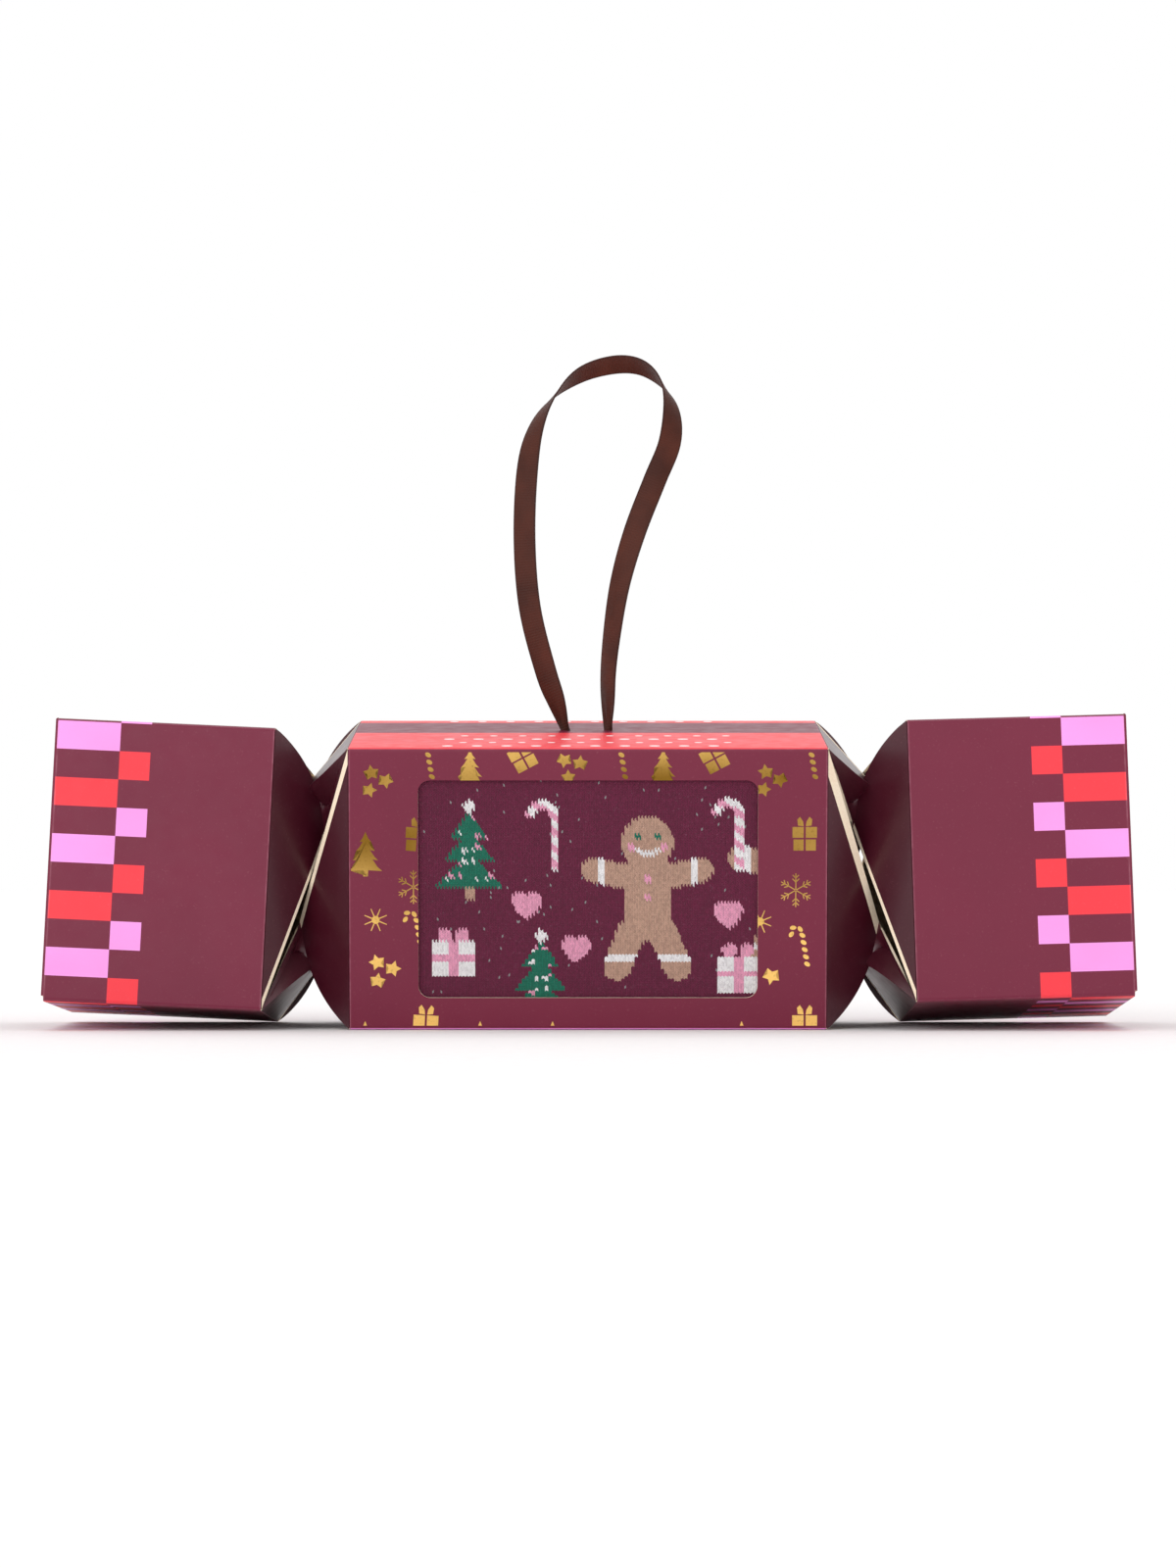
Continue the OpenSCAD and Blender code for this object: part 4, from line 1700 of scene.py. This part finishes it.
@dataclass
class HangingRibbon:
    """The satin loop through the two holes in the top, and its knots underneath."""

    carton: Carton
    width: float = 6 * MM
    thickness: float = 0.4 * MM
    crown: float = 0.3 * MM
    hole_back: float = 9 * MM
    hole_gap: float = 11 * MM
    gather: float = 0.45
    gather_height: float = 12 * MM
    pleat_depth: float = 0.55 * MM
    rings_per_span: int = 7
    across_steps: int = 8
    length: float = 218 * MM
    smooth_below: float = 50.0
    knot_h: float = 3.4 * MM
    knot_d: float = 7 * MM
    knot_shares: Pair = (0.9, 0.98)
    wrap_r: float = 2.3 * MM
    wrap_thick_r: float = 1.05 * MM
    wrap_tilt: Pair = (0.35, 0.2)

    @staticmethod
    def between(s: float, p: float, q: float, r: float, t: float) -> float:
        """A smooth curve's value at a share of the span from q to r, with p before and t after."""
        square, cube = 2 * p - 5 * q + 4 * r - t, 3 * q - p - 3 * r + t
        return (2 * q + (r - p) * s + square * s**2 + cube * s**3) / 2

    def route(self) -> list[tuple[float, float, float, float]]:
        """Points of the band's line by a smooth curve through the route.

        Returns:
            Each ring's place in millimetres and its turn in degrees.
        """
        last = len(RIBBON_ROUTE) - 1
        made = []
        for i in range(last):
            a, b, c, d = (RIBBON_ROUTE[min(max(k, 0), last)] for k in (i - 1, i, i + 1, i + 2))
            for k in range(self.rings_per_span):
                s = k / self.rings_per_span
                made.append(tuple(self.between(s, *values) for values in zip(a, b, c, d)))
        return [*made, RIBBON_ROUTE[last]]

    def build(self, material: Material) -> tuple[Piece, list[Point]]:
        """Builds the band.

        Args:
            material: The satin.

        Returns:
            The piece and its ring centres.
        """
        route = self.route()
        wall = self.carton.half - self.carton.board_t / 2
        root = self.carton.middle_place() @ Vector((0, self.hole_back, wall))
        centres = [root + Vector(spot[:3]) * MM for spot in route]
        lengths = [0.0]
        for first, second in zip(centres, centres[1:]):
            lengths.append(lengths[-1] + (second - first).length)
        steps, last = self.across_steps, len(route) - 1
        ring = 2 * (steps + 1)
        vertices: list[Vector] = []
        for i, centre in enumerate(centres):
            along = (centres[min(i + 1, last)] - centres[max(i - 1, 0)]).normalized()
            flat = along.cross(Vector((0, 1, 0))).normalized()
            turn = math.radians(route[i][3])
            across = flat * math.cos(turn) + flat.cross(along) * math.sin(turn)
            out = along.cross(across)
            rise = min(1.0, max(0.0, route[i][2] * MM) / self.gather_height)
            share = self.gather + (1 - self.gather) * rise * (2 - rise)
            folds = self.pleat_depth * (1 - share) / (1 - self.gather)
            for side in (1, -1):
                for k in range(steps + 1):
                    s = (k if side > 0 else steps - k) / steps * 2 - 1
                    lift = self.crown * share * (0.5 - s * s) + folds * math.cos(2 * math.pi * s)
                    off = across * (s * self.width / 2 * share) + out * (lift + side * self.thickness / 2)
                    vertices.append(centre + off)
        faces = tube_faces(last, ring)
        for start in (0, last * ring):
            far = start + ring - 1
            faces += [(start + k, start + k + 1, far - 1 - k, far - k) for k in range(steps)]
        piece = mesh_piece("satin_ribbon_loop", vertices, faces)
        named(piece, "satin_ribbon_loop", [material])
        face_outward(piece)
        uv_map = piece.data.uv_layers.new(name="UVMap")
        for loop in piece.data.loops:
            i, k = divmod(loop.vertex_index, ring)
            share = k / steps if k <= steps else (ring - 1 - k) / steps
            uv_map.data[loop.index].uv = (share, lengths[i])
        shade_folds(piece, self.smooth_below)
        return piece, [tuple(centre) for centre in centres]

    def knots(self, material: Material) -> Piece:
        """Builds the two knots under the top wall, each a ball with one turn wrapped round it.

        Args:
            material: The satin.

        Returns:
            The piece, in the frame.
        """
        parts = []
        for sign in (-1, 1):
            height = self.carton.inner_half - self.knot_h / 2
            centre = (sign * self.hole_gap / 2, self.hole_back, height)
            bpy.ops.object.select_all(action="DESELECT")
            bpy.ops.mesh.primitive_uv_sphere_add(segments=24, ring_count=14, radius=0.5, location=centre)
            ball = bpy.context.active_object
            deep, tall = self.knot_shares
            ball.scale = (self.knot_d, self.knot_d * deep, self.knot_h * tall)
            bpy.ops.object.transform_apply(location=True, rotation=False, scale=True)
            parts.append(ball)
            roll, pitch = self.wrap_tilt
            bpy.ops.mesh.primitive_torus_add(
                location=centre, rotation=(roll * sign, pitch, 0), major_radius=self.wrap_r,
                minor_radius=self.wrap_thick_r, major_segments=28, minor_segments=10,
            )  # fmt: skip
            wrap = bpy.context.active_object
            bpy.ops.object.transform_apply(location=True, rotation=True, scale=True)
            parts.append(wrap)
        pick_only(parts[0])
        for part in parts:
            part.select_set(True)
        bpy.ops.object.join()
        piece = named(bpy.context.active_object, "satin_ribbon_knots", [material])
        bpy.ops.object.shade_smooth()
        return put(piece, self.carton.middle_place())


def near_line(spot: Vector, first: Flat, last: Flat) -> float:
    """Distance from a flat point to a segment.

    Args:
        spot: The point.
        first: Where the segment starts.
        last: Where it ends.

    Returns:
        The distance.
    """
    start = Vector(first)
    run = Vector(last) - start
    share = max(0.0, min(1.0, (spot - start).dot(run) / run.length_squared))
    return (spot - start - run * share).length


class Yarn(Enum):
    """Yarns of the sock, as linear colours."""

    GROUND = ink(115, 28, 66)
    TAN = ink(206, 166, 144)
    WHITE = ink(255, 254, 255)
    PINK = ink(254, 174, 206)
    GREEN = ink(18, 124, 98)


@dataclass(frozen=True)
class Stitched:
    """Festive figures knitted into the sock, each a function of the place in millimetres."""

    @staticmethod
    def biscuit(spot: Vector) -> Yarn | None:
        """A gingerbread biscuit with icing, about 40 mm tall.

        Args:
            spot: The place from its middle.

        Returns:
            The yarn, or None beside the figure.
        """
        x, y = spot
        side = abs(x)
        head = math.hypot(x, y - 13.5)
        if head < 6.6:
            if math.hypot(side - 2.6, y - 14.8) < 0.8:
                return Yarn.GREEN
            if 3.2 < math.hypot(x, y - 14.2) < 4.2 and y < 11.9:
                return Yarn.WHITE
            return Yarn.PINK if math.hypot(side - 4.1, y - 12.2) < 0.9 else Yarn.TAN
        arm = near_line(Vector((side, y)), (2.5, 4.0), (13.5, 6.5))
        leg = near_line(Vector((side, y)), (2.6, -6.0), (7.6, -18.5))
        trunk = near_line(Vector((side, y)), (0.0, 5.5), (0.0, -6.0))
        if arm < 3.1 and side > 4:
            return Yarn.WHITE if 11.0 < side < 12.6 else Yarn.TAN
        if leg < 3.6 and y < -7:
            return Yarn.WHITE if -17.2 < y < -15.4 else Yarn.TAN
        if trunk < 5.9:
            return Yarn.PINK if side < 1.0 and (abs(y - 4.0) < 0.8 or abs(y + 0.5) < 0.8) else Yarn.TAN
        return Yarn.WHITE if abs(y - 7.6) < 0.8 and side < 3.4 else None

    @staticmethod
    def tree(spot: Vector) -> Yarn | None:
        """A fir with baubles, a star and a trunk, about 24 mm tall.

        Args:
            spot: The place from its middle.

        Returns:
            The yarn, or None beside the figure.
        """
        x, y = spot
        side = abs(x)
        if side + abs(y - 12.5) < 1.9:
            return Yarn.WHITE
        for low, high, width in ((4.5, 11.5, 4.6), (-1.5, 6.5, 6.6), (-8.0, 1.0, 8.8)):
            if low <= y < high and side < width * (high - y) / (high - low):
                column, row = round(x / 3.4), round(y / 3.6)
                in_dot = math.hypot(x % 3.4 - 1.7, y % 3.6 - 1.8) < 1.1
                bauble = in_dot and (column * 7 + row * 5) % 3 == 0
                return (Yarn.PINK if row % 2 else Yarn.WHITE) if bauble else Yarn.GREEN
        return Yarn.TAN if side < 1.4 and -11.0 < y < -8.0 else None

    @staticmethod
    def cane(spot: Vector) -> Yarn | None:
        """A pink and white striped cane, about 18 mm tall.

        Args:
            spot: The place from its middle.

        Returns:
            The yarn, or None beside the figure.
        """
        x, y = spot
        hook = abs(math.hypot(x + 3.0, y - 5.0) - 3.0) < 1.15 and y >= 5.0
        shaft = abs(x) < 1.15 and -9.0 < y < 5.0
        return (Yarn.PINK if (y + 0.6 * x) % 4.0 < 2.0 else Yarn.WHITE) if hook or shaft else None

    @staticmethod
    def heart(spot: Vector) -> Yarn | None:
        """A small heart.

        Args:
            spot: The place from its middle.

        Returns:
            The yarn, or None beside the figure.
        """
        x, y = spot[0] / 3.2, spot[1] / 3.2
        return Yarn.PINK if (x * x + y * y - 1) ** 3 - x * x * y**3 < 0 else None

    @staticmethod
    def parcel(spot: Vector) -> Yarn | None:
        """A parcel with ribbon and bow, about 13 mm tall.

        Args:
            spot: The place from its middle.

        Returns:
            The yarn, or None beside the figure.
        """
        x, y = spot
        if abs(x) < 5.4 and abs(y) < 4.6:
            return Yarn.PINK if abs(x) < 1.2 or abs(y - 0.2) < 0.8 else Yarn.WHITE
        return Yarn.PINK if math.hypot(abs(x) - 2.2, y - 6.2) < 1.9 else None

    def color(self, x: float, y: float) -> Yarn:
        """The yarn of a stitch.

        Args:
            x: Place along the sock from its middle, in millimetres.
            y: Place up the sock from its middle, in millimetres.

        Returns:
            The yarn.
        """
        figures = (
            (self.biscuit, 15.0, -1.0), (self.tree, -30.0, 9.0), (self.cane, -8.5, 14.0),
            (self.heart, -15.5, -4.0), (self.parcel, -34.0, -17.5), (self.cane, 38.5, 14.5),
            (self.tree, -12.0, -24.0), (self.heart, 35.5, -6.5), (self.parcel, 38.0, -21.5),
            (self.heart, -3.0, -15.5), (self.cane, -46.0, 3.0), (self.biscuit, 52.0, 2.0),
        )  # fmt: skip
        for figure, at_x, at_y in figures:
            yarn = figure(Vector((x - at_x, y - at_y)))
            if yarn:
                return yarn
        return Yarn.GROUND


@dataclass
class Sock:
    """A sock folded in half with its fold down, whose front shows each stitch where the window does."""

    carton: Carton
    name: str
    centre: float
    low: float
    height: float
    fine: bool
    seed: random.Random
    figures: Stitched = Stitched()
    length: float = 112 * MM
    layer: float = 16.15 * MM
    slot: float = 0.3 * MM
    radius: float = 6 * MM
    rim_r: float = 3 * MM
    seam_r: float = 0.1 * MM
    corner_steps: int = 6
    wale: float = 0.84 * MM
    course: float = 0.62 * MM
    slant: float = 0.17 * MM
    plain_course: float = 2.6 * MM
    plain_wales: int = 3
    flat_share: float = 0.99
    front_share: float = 0.9
    bulge: float = 2.6 * MM
    bulge_power: int = 10
    rim_fade: float = 8.0
    end_run: float = 4 * MM
    end_inset: float = 1.2 * MM
    wrap_courses: float = 50.0
    fleck_chance: float = 0.004
    fleck_tone: float = 0.34
    tones: Pair = (0.86, 0.28)

    def outline(self) -> list[Vector]:
        """The section's corners rounded: from the slot over the front, under the fold and over the back.

        Returns:
            Its points in y and z.
        """
        half, top = self.layer + self.slot / 2, self.height
        corners = [
            (-self.slot, self.layer, self.seam_r), (-self.slot, top, self.rim_r), (-half, top, self.radius),
            (-half, 0.0, self.radius), (half, 0.0, self.radius), (half, top, self.radius),
            (self.slot, top, self.rim_r), (self.slot, self.layer, self.seam_r),
        ]  # fmt: skip
        points: list[Vector] = []
        for i, (y, z, radius) in enumerate(corners):
            spot = Vector((y, z))
            before = (Vector(corners[i - 1][:2]) - spot).normalized() * radius
            after = (Vector(corners[(i + 1) % len(corners)][:2]) - spot).normalized() * radius
            shares = [k / self.corner_steps for k in range(self.corner_steps + 1)]
            points += [spot + before * (1 - s) ** 2 + after * s**2 for s in shares]
        return points

    def loop(self) -> list[tuple[Vector, float]]:
        """The section at the spacing of its courses, each point with its height counted in courses.

        Returns:
            The points and their heights.
        """
        points = self.outline()
        made: list[tuple[Vector, float]] = []
        travelled = 0.0
        for i, first in enumerate(points):
            second = points[(i + 1) % len(points)]
            span = (second - first).length
            on_front = max(first.x, second.x) < -self.layer * self.flat_share
            step = self.course if self.fine and on_front else self.plain_course
            count = max(1, round(span / step)) if span > 1e-6 else 0
            for k in range(count):
                made.append((first.lerp(second, k / count), (travelled + span * k / count) / self.course))
            travelled += span
        return made

    def build(self, material: Material) -> Piece:
        """Builds the sock.

        Args:
            material: The knit.

        Returns:
            The piece, in the frame.
        """
        loop = self.loop()
        step = self.wale / 2 if self.fine else self.wale * self.plain_wales
        columns = 2 * round(self.length / step / 2)
        vertices, heights = [], []
        for i in range(columns + 1):
            x = (i / columns - 0.5) * self.length
            end = max(0.0, (abs(x) - self.length / 2 + self.end_run) / self.end_run)
            for spot, rise in loop:
                y, z = spot.x, spot.y
                if self.fine and y < -self.layer * self.front_share:
                    centred = (2 * x / self.length, 2 * z / self.height - 1)
                    swells = [max(0.0, 1 - share**self.bulge_power) for share in centred]
                    y -= self.bulge * swells[0] * swells[1]
                    # The two legs of a stitch slant down to its middle, and the slant fades at the rims
                    fade = min(1.0, max(0.0, 1 - abs(centred[1])) * self.rim_fade)
                    z -= (self.slant if i % 2 else -self.slant) * fade
                inset = self.end_inset * end * end
                middle = self.layer / 2 if y > 0 else -self.layer / 2
                y -= math.copysign(inset, y - middle)
                vertices.append(Vector((x, self.centre + y, self.low + z)))
                heights.append((x / self.wale, rise))
        count = len(loop)
        faces = tube_faces(columns, count)
        faces += [tuple(range(count)), tuple(range(columns * count, (columns + 1) * count))]
        piece = named(mesh_piece(self.name, vertices, faces), self.name, [material])
        self.paint(piece, heights)
        face_outward(piece)
        split_wide_faces(piece)
        bpy.ops.object.shade_smooth()
        return put(piece, self.carton.middle_place())

    def paint(self, piece: Piece, places: Sequence[Flat]) -> None:
        """Writes the UV map that counts stitches, and each stitch's colour.

        Args:
            piece: The sock in its box's own axes.
            places: Each vertex's place, in wales along and courses round.
        """
        data = piece.data
        data.uv_layers.new(name="UVMap")
        data.color_attributes.new(name="stitch_color", type="FLOAT_COLOR", domain="CORNER")
        uv_map, colors = data.uv_layers["UVMap"], data.color_attributes["stitch_color"]
        for polygon in data.polygons:
            rises = [places[vertex][1] for vertex in polygon.vertices]
            wraps = polygon.loop_total == 4 and max(rises) - min(rises) > self.wrap_courses
            color = self.stitch(polygon, data.vertices[min(polygon.vertices)].co)
            for corner in polygon.loop_indices:
                across, rise = places[data.loops[corner].vertex_index]
                uv_map.data[corner].uv = (across, rise + 2 if wraps and rise < 1 else rise)
                colors.data[corner].color = color

    def stitch(self, polygon: bpy.types.MeshPolygon, corner: Vector) -> Color:
        """The colour of the stitch that a face belongs to.

        Args:
            polygon: The face.
            corner: Its first corner.

        Returns:
            The colour.
        """
        yarn = Yarn.GROUND
        front = self.centre - self.layer * self.front_share
        if self.fine and polygon.loop_total == 4 and polygon.center.y < front:
            # Both halves of a stitch take the colour at its middle
            wale = math.floor(polygon.center.x / self.wale) + 0.5
            course = round((corner.z + self.slant) / self.course)
            yarn = self.figures.color(wale * self.wale / MM, course * self.course / MM)
        if yarn is Yarn.GROUND and self.seed.random() < self.fleck_chance:
            return (*[c * self.fleck_tone for c in Yarn.WHITE.value[:3]], 1.0)
        darkest, spread = self.tones
        tone = darkest + spread * self.seed.random()
        return (*[c * tone for c in yarn.value[:3]], 1.0)


@dataclass
class Studio:
    """Camera, floor and soft lights."""

    camera_at: Point = (0.0, -1.250, 0.0412)
    pitch: float = 91.0
    focal_px: float = 4893.0
    frame_px: float = 1600.0
    sensor: float = 36.0
    table_size: float = 14.0
    table_tints: tuple[Color, Color] = ((0.95, 0.935, 0.94, 1), (0.985, 0.97, 0.975, 1))
    room_tint: Color = (1, 0.985, 0.98, 1)
    room_light: float = 0.82

    def camera(self) -> None:
        """Sets up the photo's camera: low, level with the box and looking slightly up."""
        data = bpy.data.cameras.new("camera")
        data.sensor_fit = "VERTICAL"
        data.sensor_height = self.sensor
        data.lens = self.focal_px / self.frame_px * self.sensor
        camera = bpy.data.objects.new("camera", data)
        bpy.context.collection.objects.link(camera)
        camera.location = self.camera_at
        camera.rotation_euler = (math.radians(self.pitch), 0, 0)
        bpy.context.scene.camera = camera

    def floor(self) -> None:
        """Lays a pale table under the object."""
        bpy.ops.mesh.primitive_plane_add(size=self.table_size, location=(0, 0, 0))
        floor = bpy.context.active_object
        shader = Shader("white_table")
        grain = shader.noise(shader.object_place(), 300.0, 2.0)
        color = shader.mix(shader.spread(grain, 0.3, 0.7), *self.table_tints)
        named(floor, "table_top", [shader.finish(color, 0.85, Specular_IOR_Level=0.2)])

    def sun(self, name: str, towards: Point, strength: float, spread: float) -> None:
        """Adds an even soft light.

        Args:
            name: Its name.
            towards: The direction that it comes from.
            strength: Its strength.
            spread: Its width as an angle in degrees.
        """
        data = bpy.data.lights.new(name, "SUN")
        data.energy = strength
        data.angle = math.radians(spread)
        light = bpy.data.objects.new(name, data)
        bpy.context.collection.objects.link(light)
        light.rotation_euler = Vector(towards).to_track_quat("Z", "Y").to_euler()

    def world(self) -> None:
        """A white backdrop where it is seen or mirrored, and an even light for the rest."""
        world = bpy.data.worlds.new("white_room")
        bpy.context.scene.world = world
        world.use_nodes = True
        tree = world.node_tree
        tree.nodes.clear()
        rays = tree.nodes.new("ShaderNodeLightPath")
        seen = tree.nodes.new("ShaderNodeBackground")
        lit = tree.nodes.new("ShaderNodeBackground")
        either = tree.nodes.new("ShaderNodeMixShader")
        out = tree.nodes.new("ShaderNodeOutputWorld")
        seen.inputs["Color"].default_value = (1, 1, 1, 1)
        seen.inputs["Strength"].default_value = 1.0
        lit.inputs["Color"].default_value = self.room_tint
        lit.inputs["Strength"].default_value = self.room_light
        sees = rays.outputs["Is Camera Ray"]
        for kind in ("Is Glossy Ray", "Is Transmission Ray"):
            larger = tree.nodes.new("ShaderNodeMath")
            larger.operation = "MAXIMUM"
            tree.links.new(sees, larger.inputs[0])
            tree.links.new(rays.outputs[kind], larger.inputs[1])
            sees = larger.outputs[0]
        tree.links.new(sees, either.inputs[0])
        tree.links.new(lit.outputs[0], either.inputs[1])
        tree.links.new(seen.outputs[0], either.inputs[2])
        tree.links.new(either.outputs[0], out.inputs[0])

    def build(self) -> None:
        """Sets up the whole studio."""
        self.camera()
        self.floor()
        self.world()
        self.sun("key_light", towards=(-0.5, -1.0, 0.35), strength=0.9, spread=45)
        self.sun("top_light", towards=(0.05, 0.25, 1.0), strength=0.6, spread=60)
        bpy.context.scene.view_settings.view_transform = "Standard"


@dataclass
class Cracker:
    """The whole gift box, put together."""

    carton: Carton = field(default_factory=Carton)
    seed: random.Random = field(default_factory=lambda: random.Random(24))

    def stand(self, piece: Piece, body: str, slot: str, *nodes: str) -> None:
        """Hangs a piece on its body and hides the CAD nodes that it stands for.

        Args:
            piece: The piece.
            body: The body's name.
            slot: The finish's slot; not used.
            *nodes: The nodes.
        """
        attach(piece, body)
        if nodes:
            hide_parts(*nodes)

    def ribbon(self, finishes: Finishes) -> None:
        """Builds the loop and its knots.

        Args:
            finishes: Every material.
        """
        ribbon = HangingRibbon(self.carton)
        loop, centres = ribbon.build(finishes.satin)
        self.stand(loop, "ribbon_loop", "ribbon_satin", "hanging_ribbon")
        self.stand(ribbon.knots(finishes.satin), "carton", "ribbon_satin", "ribbon_knots")

    def middle(self, finishes: Finishes) -> None:
        """Builds the middle box with its window, foil and dots.

        Args:
            finishes: Every material.
        """
        carton = self.carton
        place = carton.middle_place()
        board = finishes.board(PrintLayout.MIDDLE)
        for face in Face:
            panel = FoldedPanel(carton, face, carton.middle_len)
            if face is Face.FRONT:
                piece = self.window_panel(panel, board)
            else:
                piece = panel.build(f"{face.name.lower()}_panel_board", board, place)
            self.stand(piece, "carton", "printed_board", f"{face.name.lower()}_panel")
        print_foil = FoilPrint()
        self.stand(put(print_foil.build(carton, finishes.foil), place), "carton", "printed_board")
        dots = WhiteDots().build(carton, print_foil, finishes.white)
        self.stand(put(dots, place), "carton", "printed_board")

    def window_panel(self, panel: FoldedPanel, board: Sequence[Material]) -> Piece:
        """Builds the front panel with its rounded window.

        Args:
            panel: The front panel's sizes.
            board: Materials in the order of Skin.

        Returns:
            The piece, in the frame.
        """
        carton = self.carton
        piece = panel.sheet("window_panel_board", board)
        thicken(piece, carton.board_t, rim=Skin.PRINT)
        cutter = rounded_block(carton.window, (0, 0, 0), carton.window_r, 8)
        named(cutter, "window_cutter", board)
        assign_by_normal(cutter, lambda _: Skin.CUT)
        cutter.location = (0, -carton.half, 0)
        cut(piece, cutter)
        return panel.finish(piece, carton.middle_place())

    def ends(self, finishes: Finishes) -> None:
        """Builds both end boxes, their closures and the necks.

        Args:
            finishes: Every material.
        """
        carton = self.carton
        plates = FoilPrint().plates
        for side in Side:
            body = f"{side.label}_end"
            place = carton.end_place(side)
            for face in Face:
                panel = FoldedPanel(carton, face, carton.end_len)
                name = f"{side.label}_{face.name.lower()}_panel"
                piece = panel.build(f"{name}_board", finishes.board(PrintLayout.END), place)
                self.stand(piece, body, "printed_board", name)
                strip = NeckStrip(carton, side, face)
                name = f"{side.label}_{face.name.lower()}_neck_strip"
                piece = strip.build(f"{name}_board", finishes.board(PrintLayout.NECK))
                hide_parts(name)
                outer = side.value * (carton.middle_len / 2 + strip.gap)
                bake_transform(piece)
            closure = Closure(carton, side, plates)
            board = finishes.board(PrintLayout.PLAIN)
            lid_body = f"{side.label}_end_lid"
            self.stand(closure.lid(board), lid_body, "printed_board", f"{side.label}_lid")
            self.stand(closure.tab(board), lid_body, "printed_board", f"{side.label}_tuck_tab")
            for face in (Face.FRONT, Face.REAR):
                flap = f"{side.label}_{face.name.lower()}"
                piece = closure.dust_flap(face, board)
                self.stand(piece, f"{flap}_flap", "bare_board", f"{flap}_dust_flap")

    def socks(self, finishes: Finishes) -> None:
        """Builds the two folded socks.

        Args:
            finishes: Every material.
        """
        front = Sock(
            self.carton, "folded_sock_front", centre=-16.15 * MM, low=-35.2 * MM, height=70.4 * MM,
            fine=True, seed=self.seed,
        )  # fmt: skip
        rear = Sock(
            self.carton, "folded_sock_rear", centre=18.95 * MM, low=-34.6 * MM, height=65.6 * MM,
            fine=False, seed=self.seed,
        )  # fmt: skip
        self.stand(front.build(finishes.knit), "carton", "sock_knit", "front_sock")
        self.stand(rear.build(finishes.knit), "carton", "sock_knit", "rear_sock")

    def glue_strips(self, finishes: Finishes, nodes: dict[str, Piece]) -> None:
        """Gives the CAD glue strips the bare board.

        Args:
            finishes: Every material.
            nodes: The CAD nodes by name.
        """
        for name in ("glue_strip", "left_glue_strip", "right_glue_strip"):
            node = nodes[name]
            for slot in node.material_slots:
                slot.material = finishes.bare
            LOG.info("dressed %s", name)

    def build(self, nodes: dict[str, Piece]) -> None:
        """Builds everything.

        Args:
            nodes: The CAD nodes by name.
        """
        finishes = Finishes()
        self.ribbon(finishes)
        self.middle(finishes)
        self.ends(finishes)
        self.socks(finishes)
        self.glue_strips(finishes, nodes)


def main() -> None:
    """Builds the scene."""
    logging.basicConfig(level=logging.INFO, format="%(name)s: %(message)s")
    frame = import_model()
    Studio().build()
    Cracker().build(frame["nodes"])


if __name__ == "__main__":
    main()
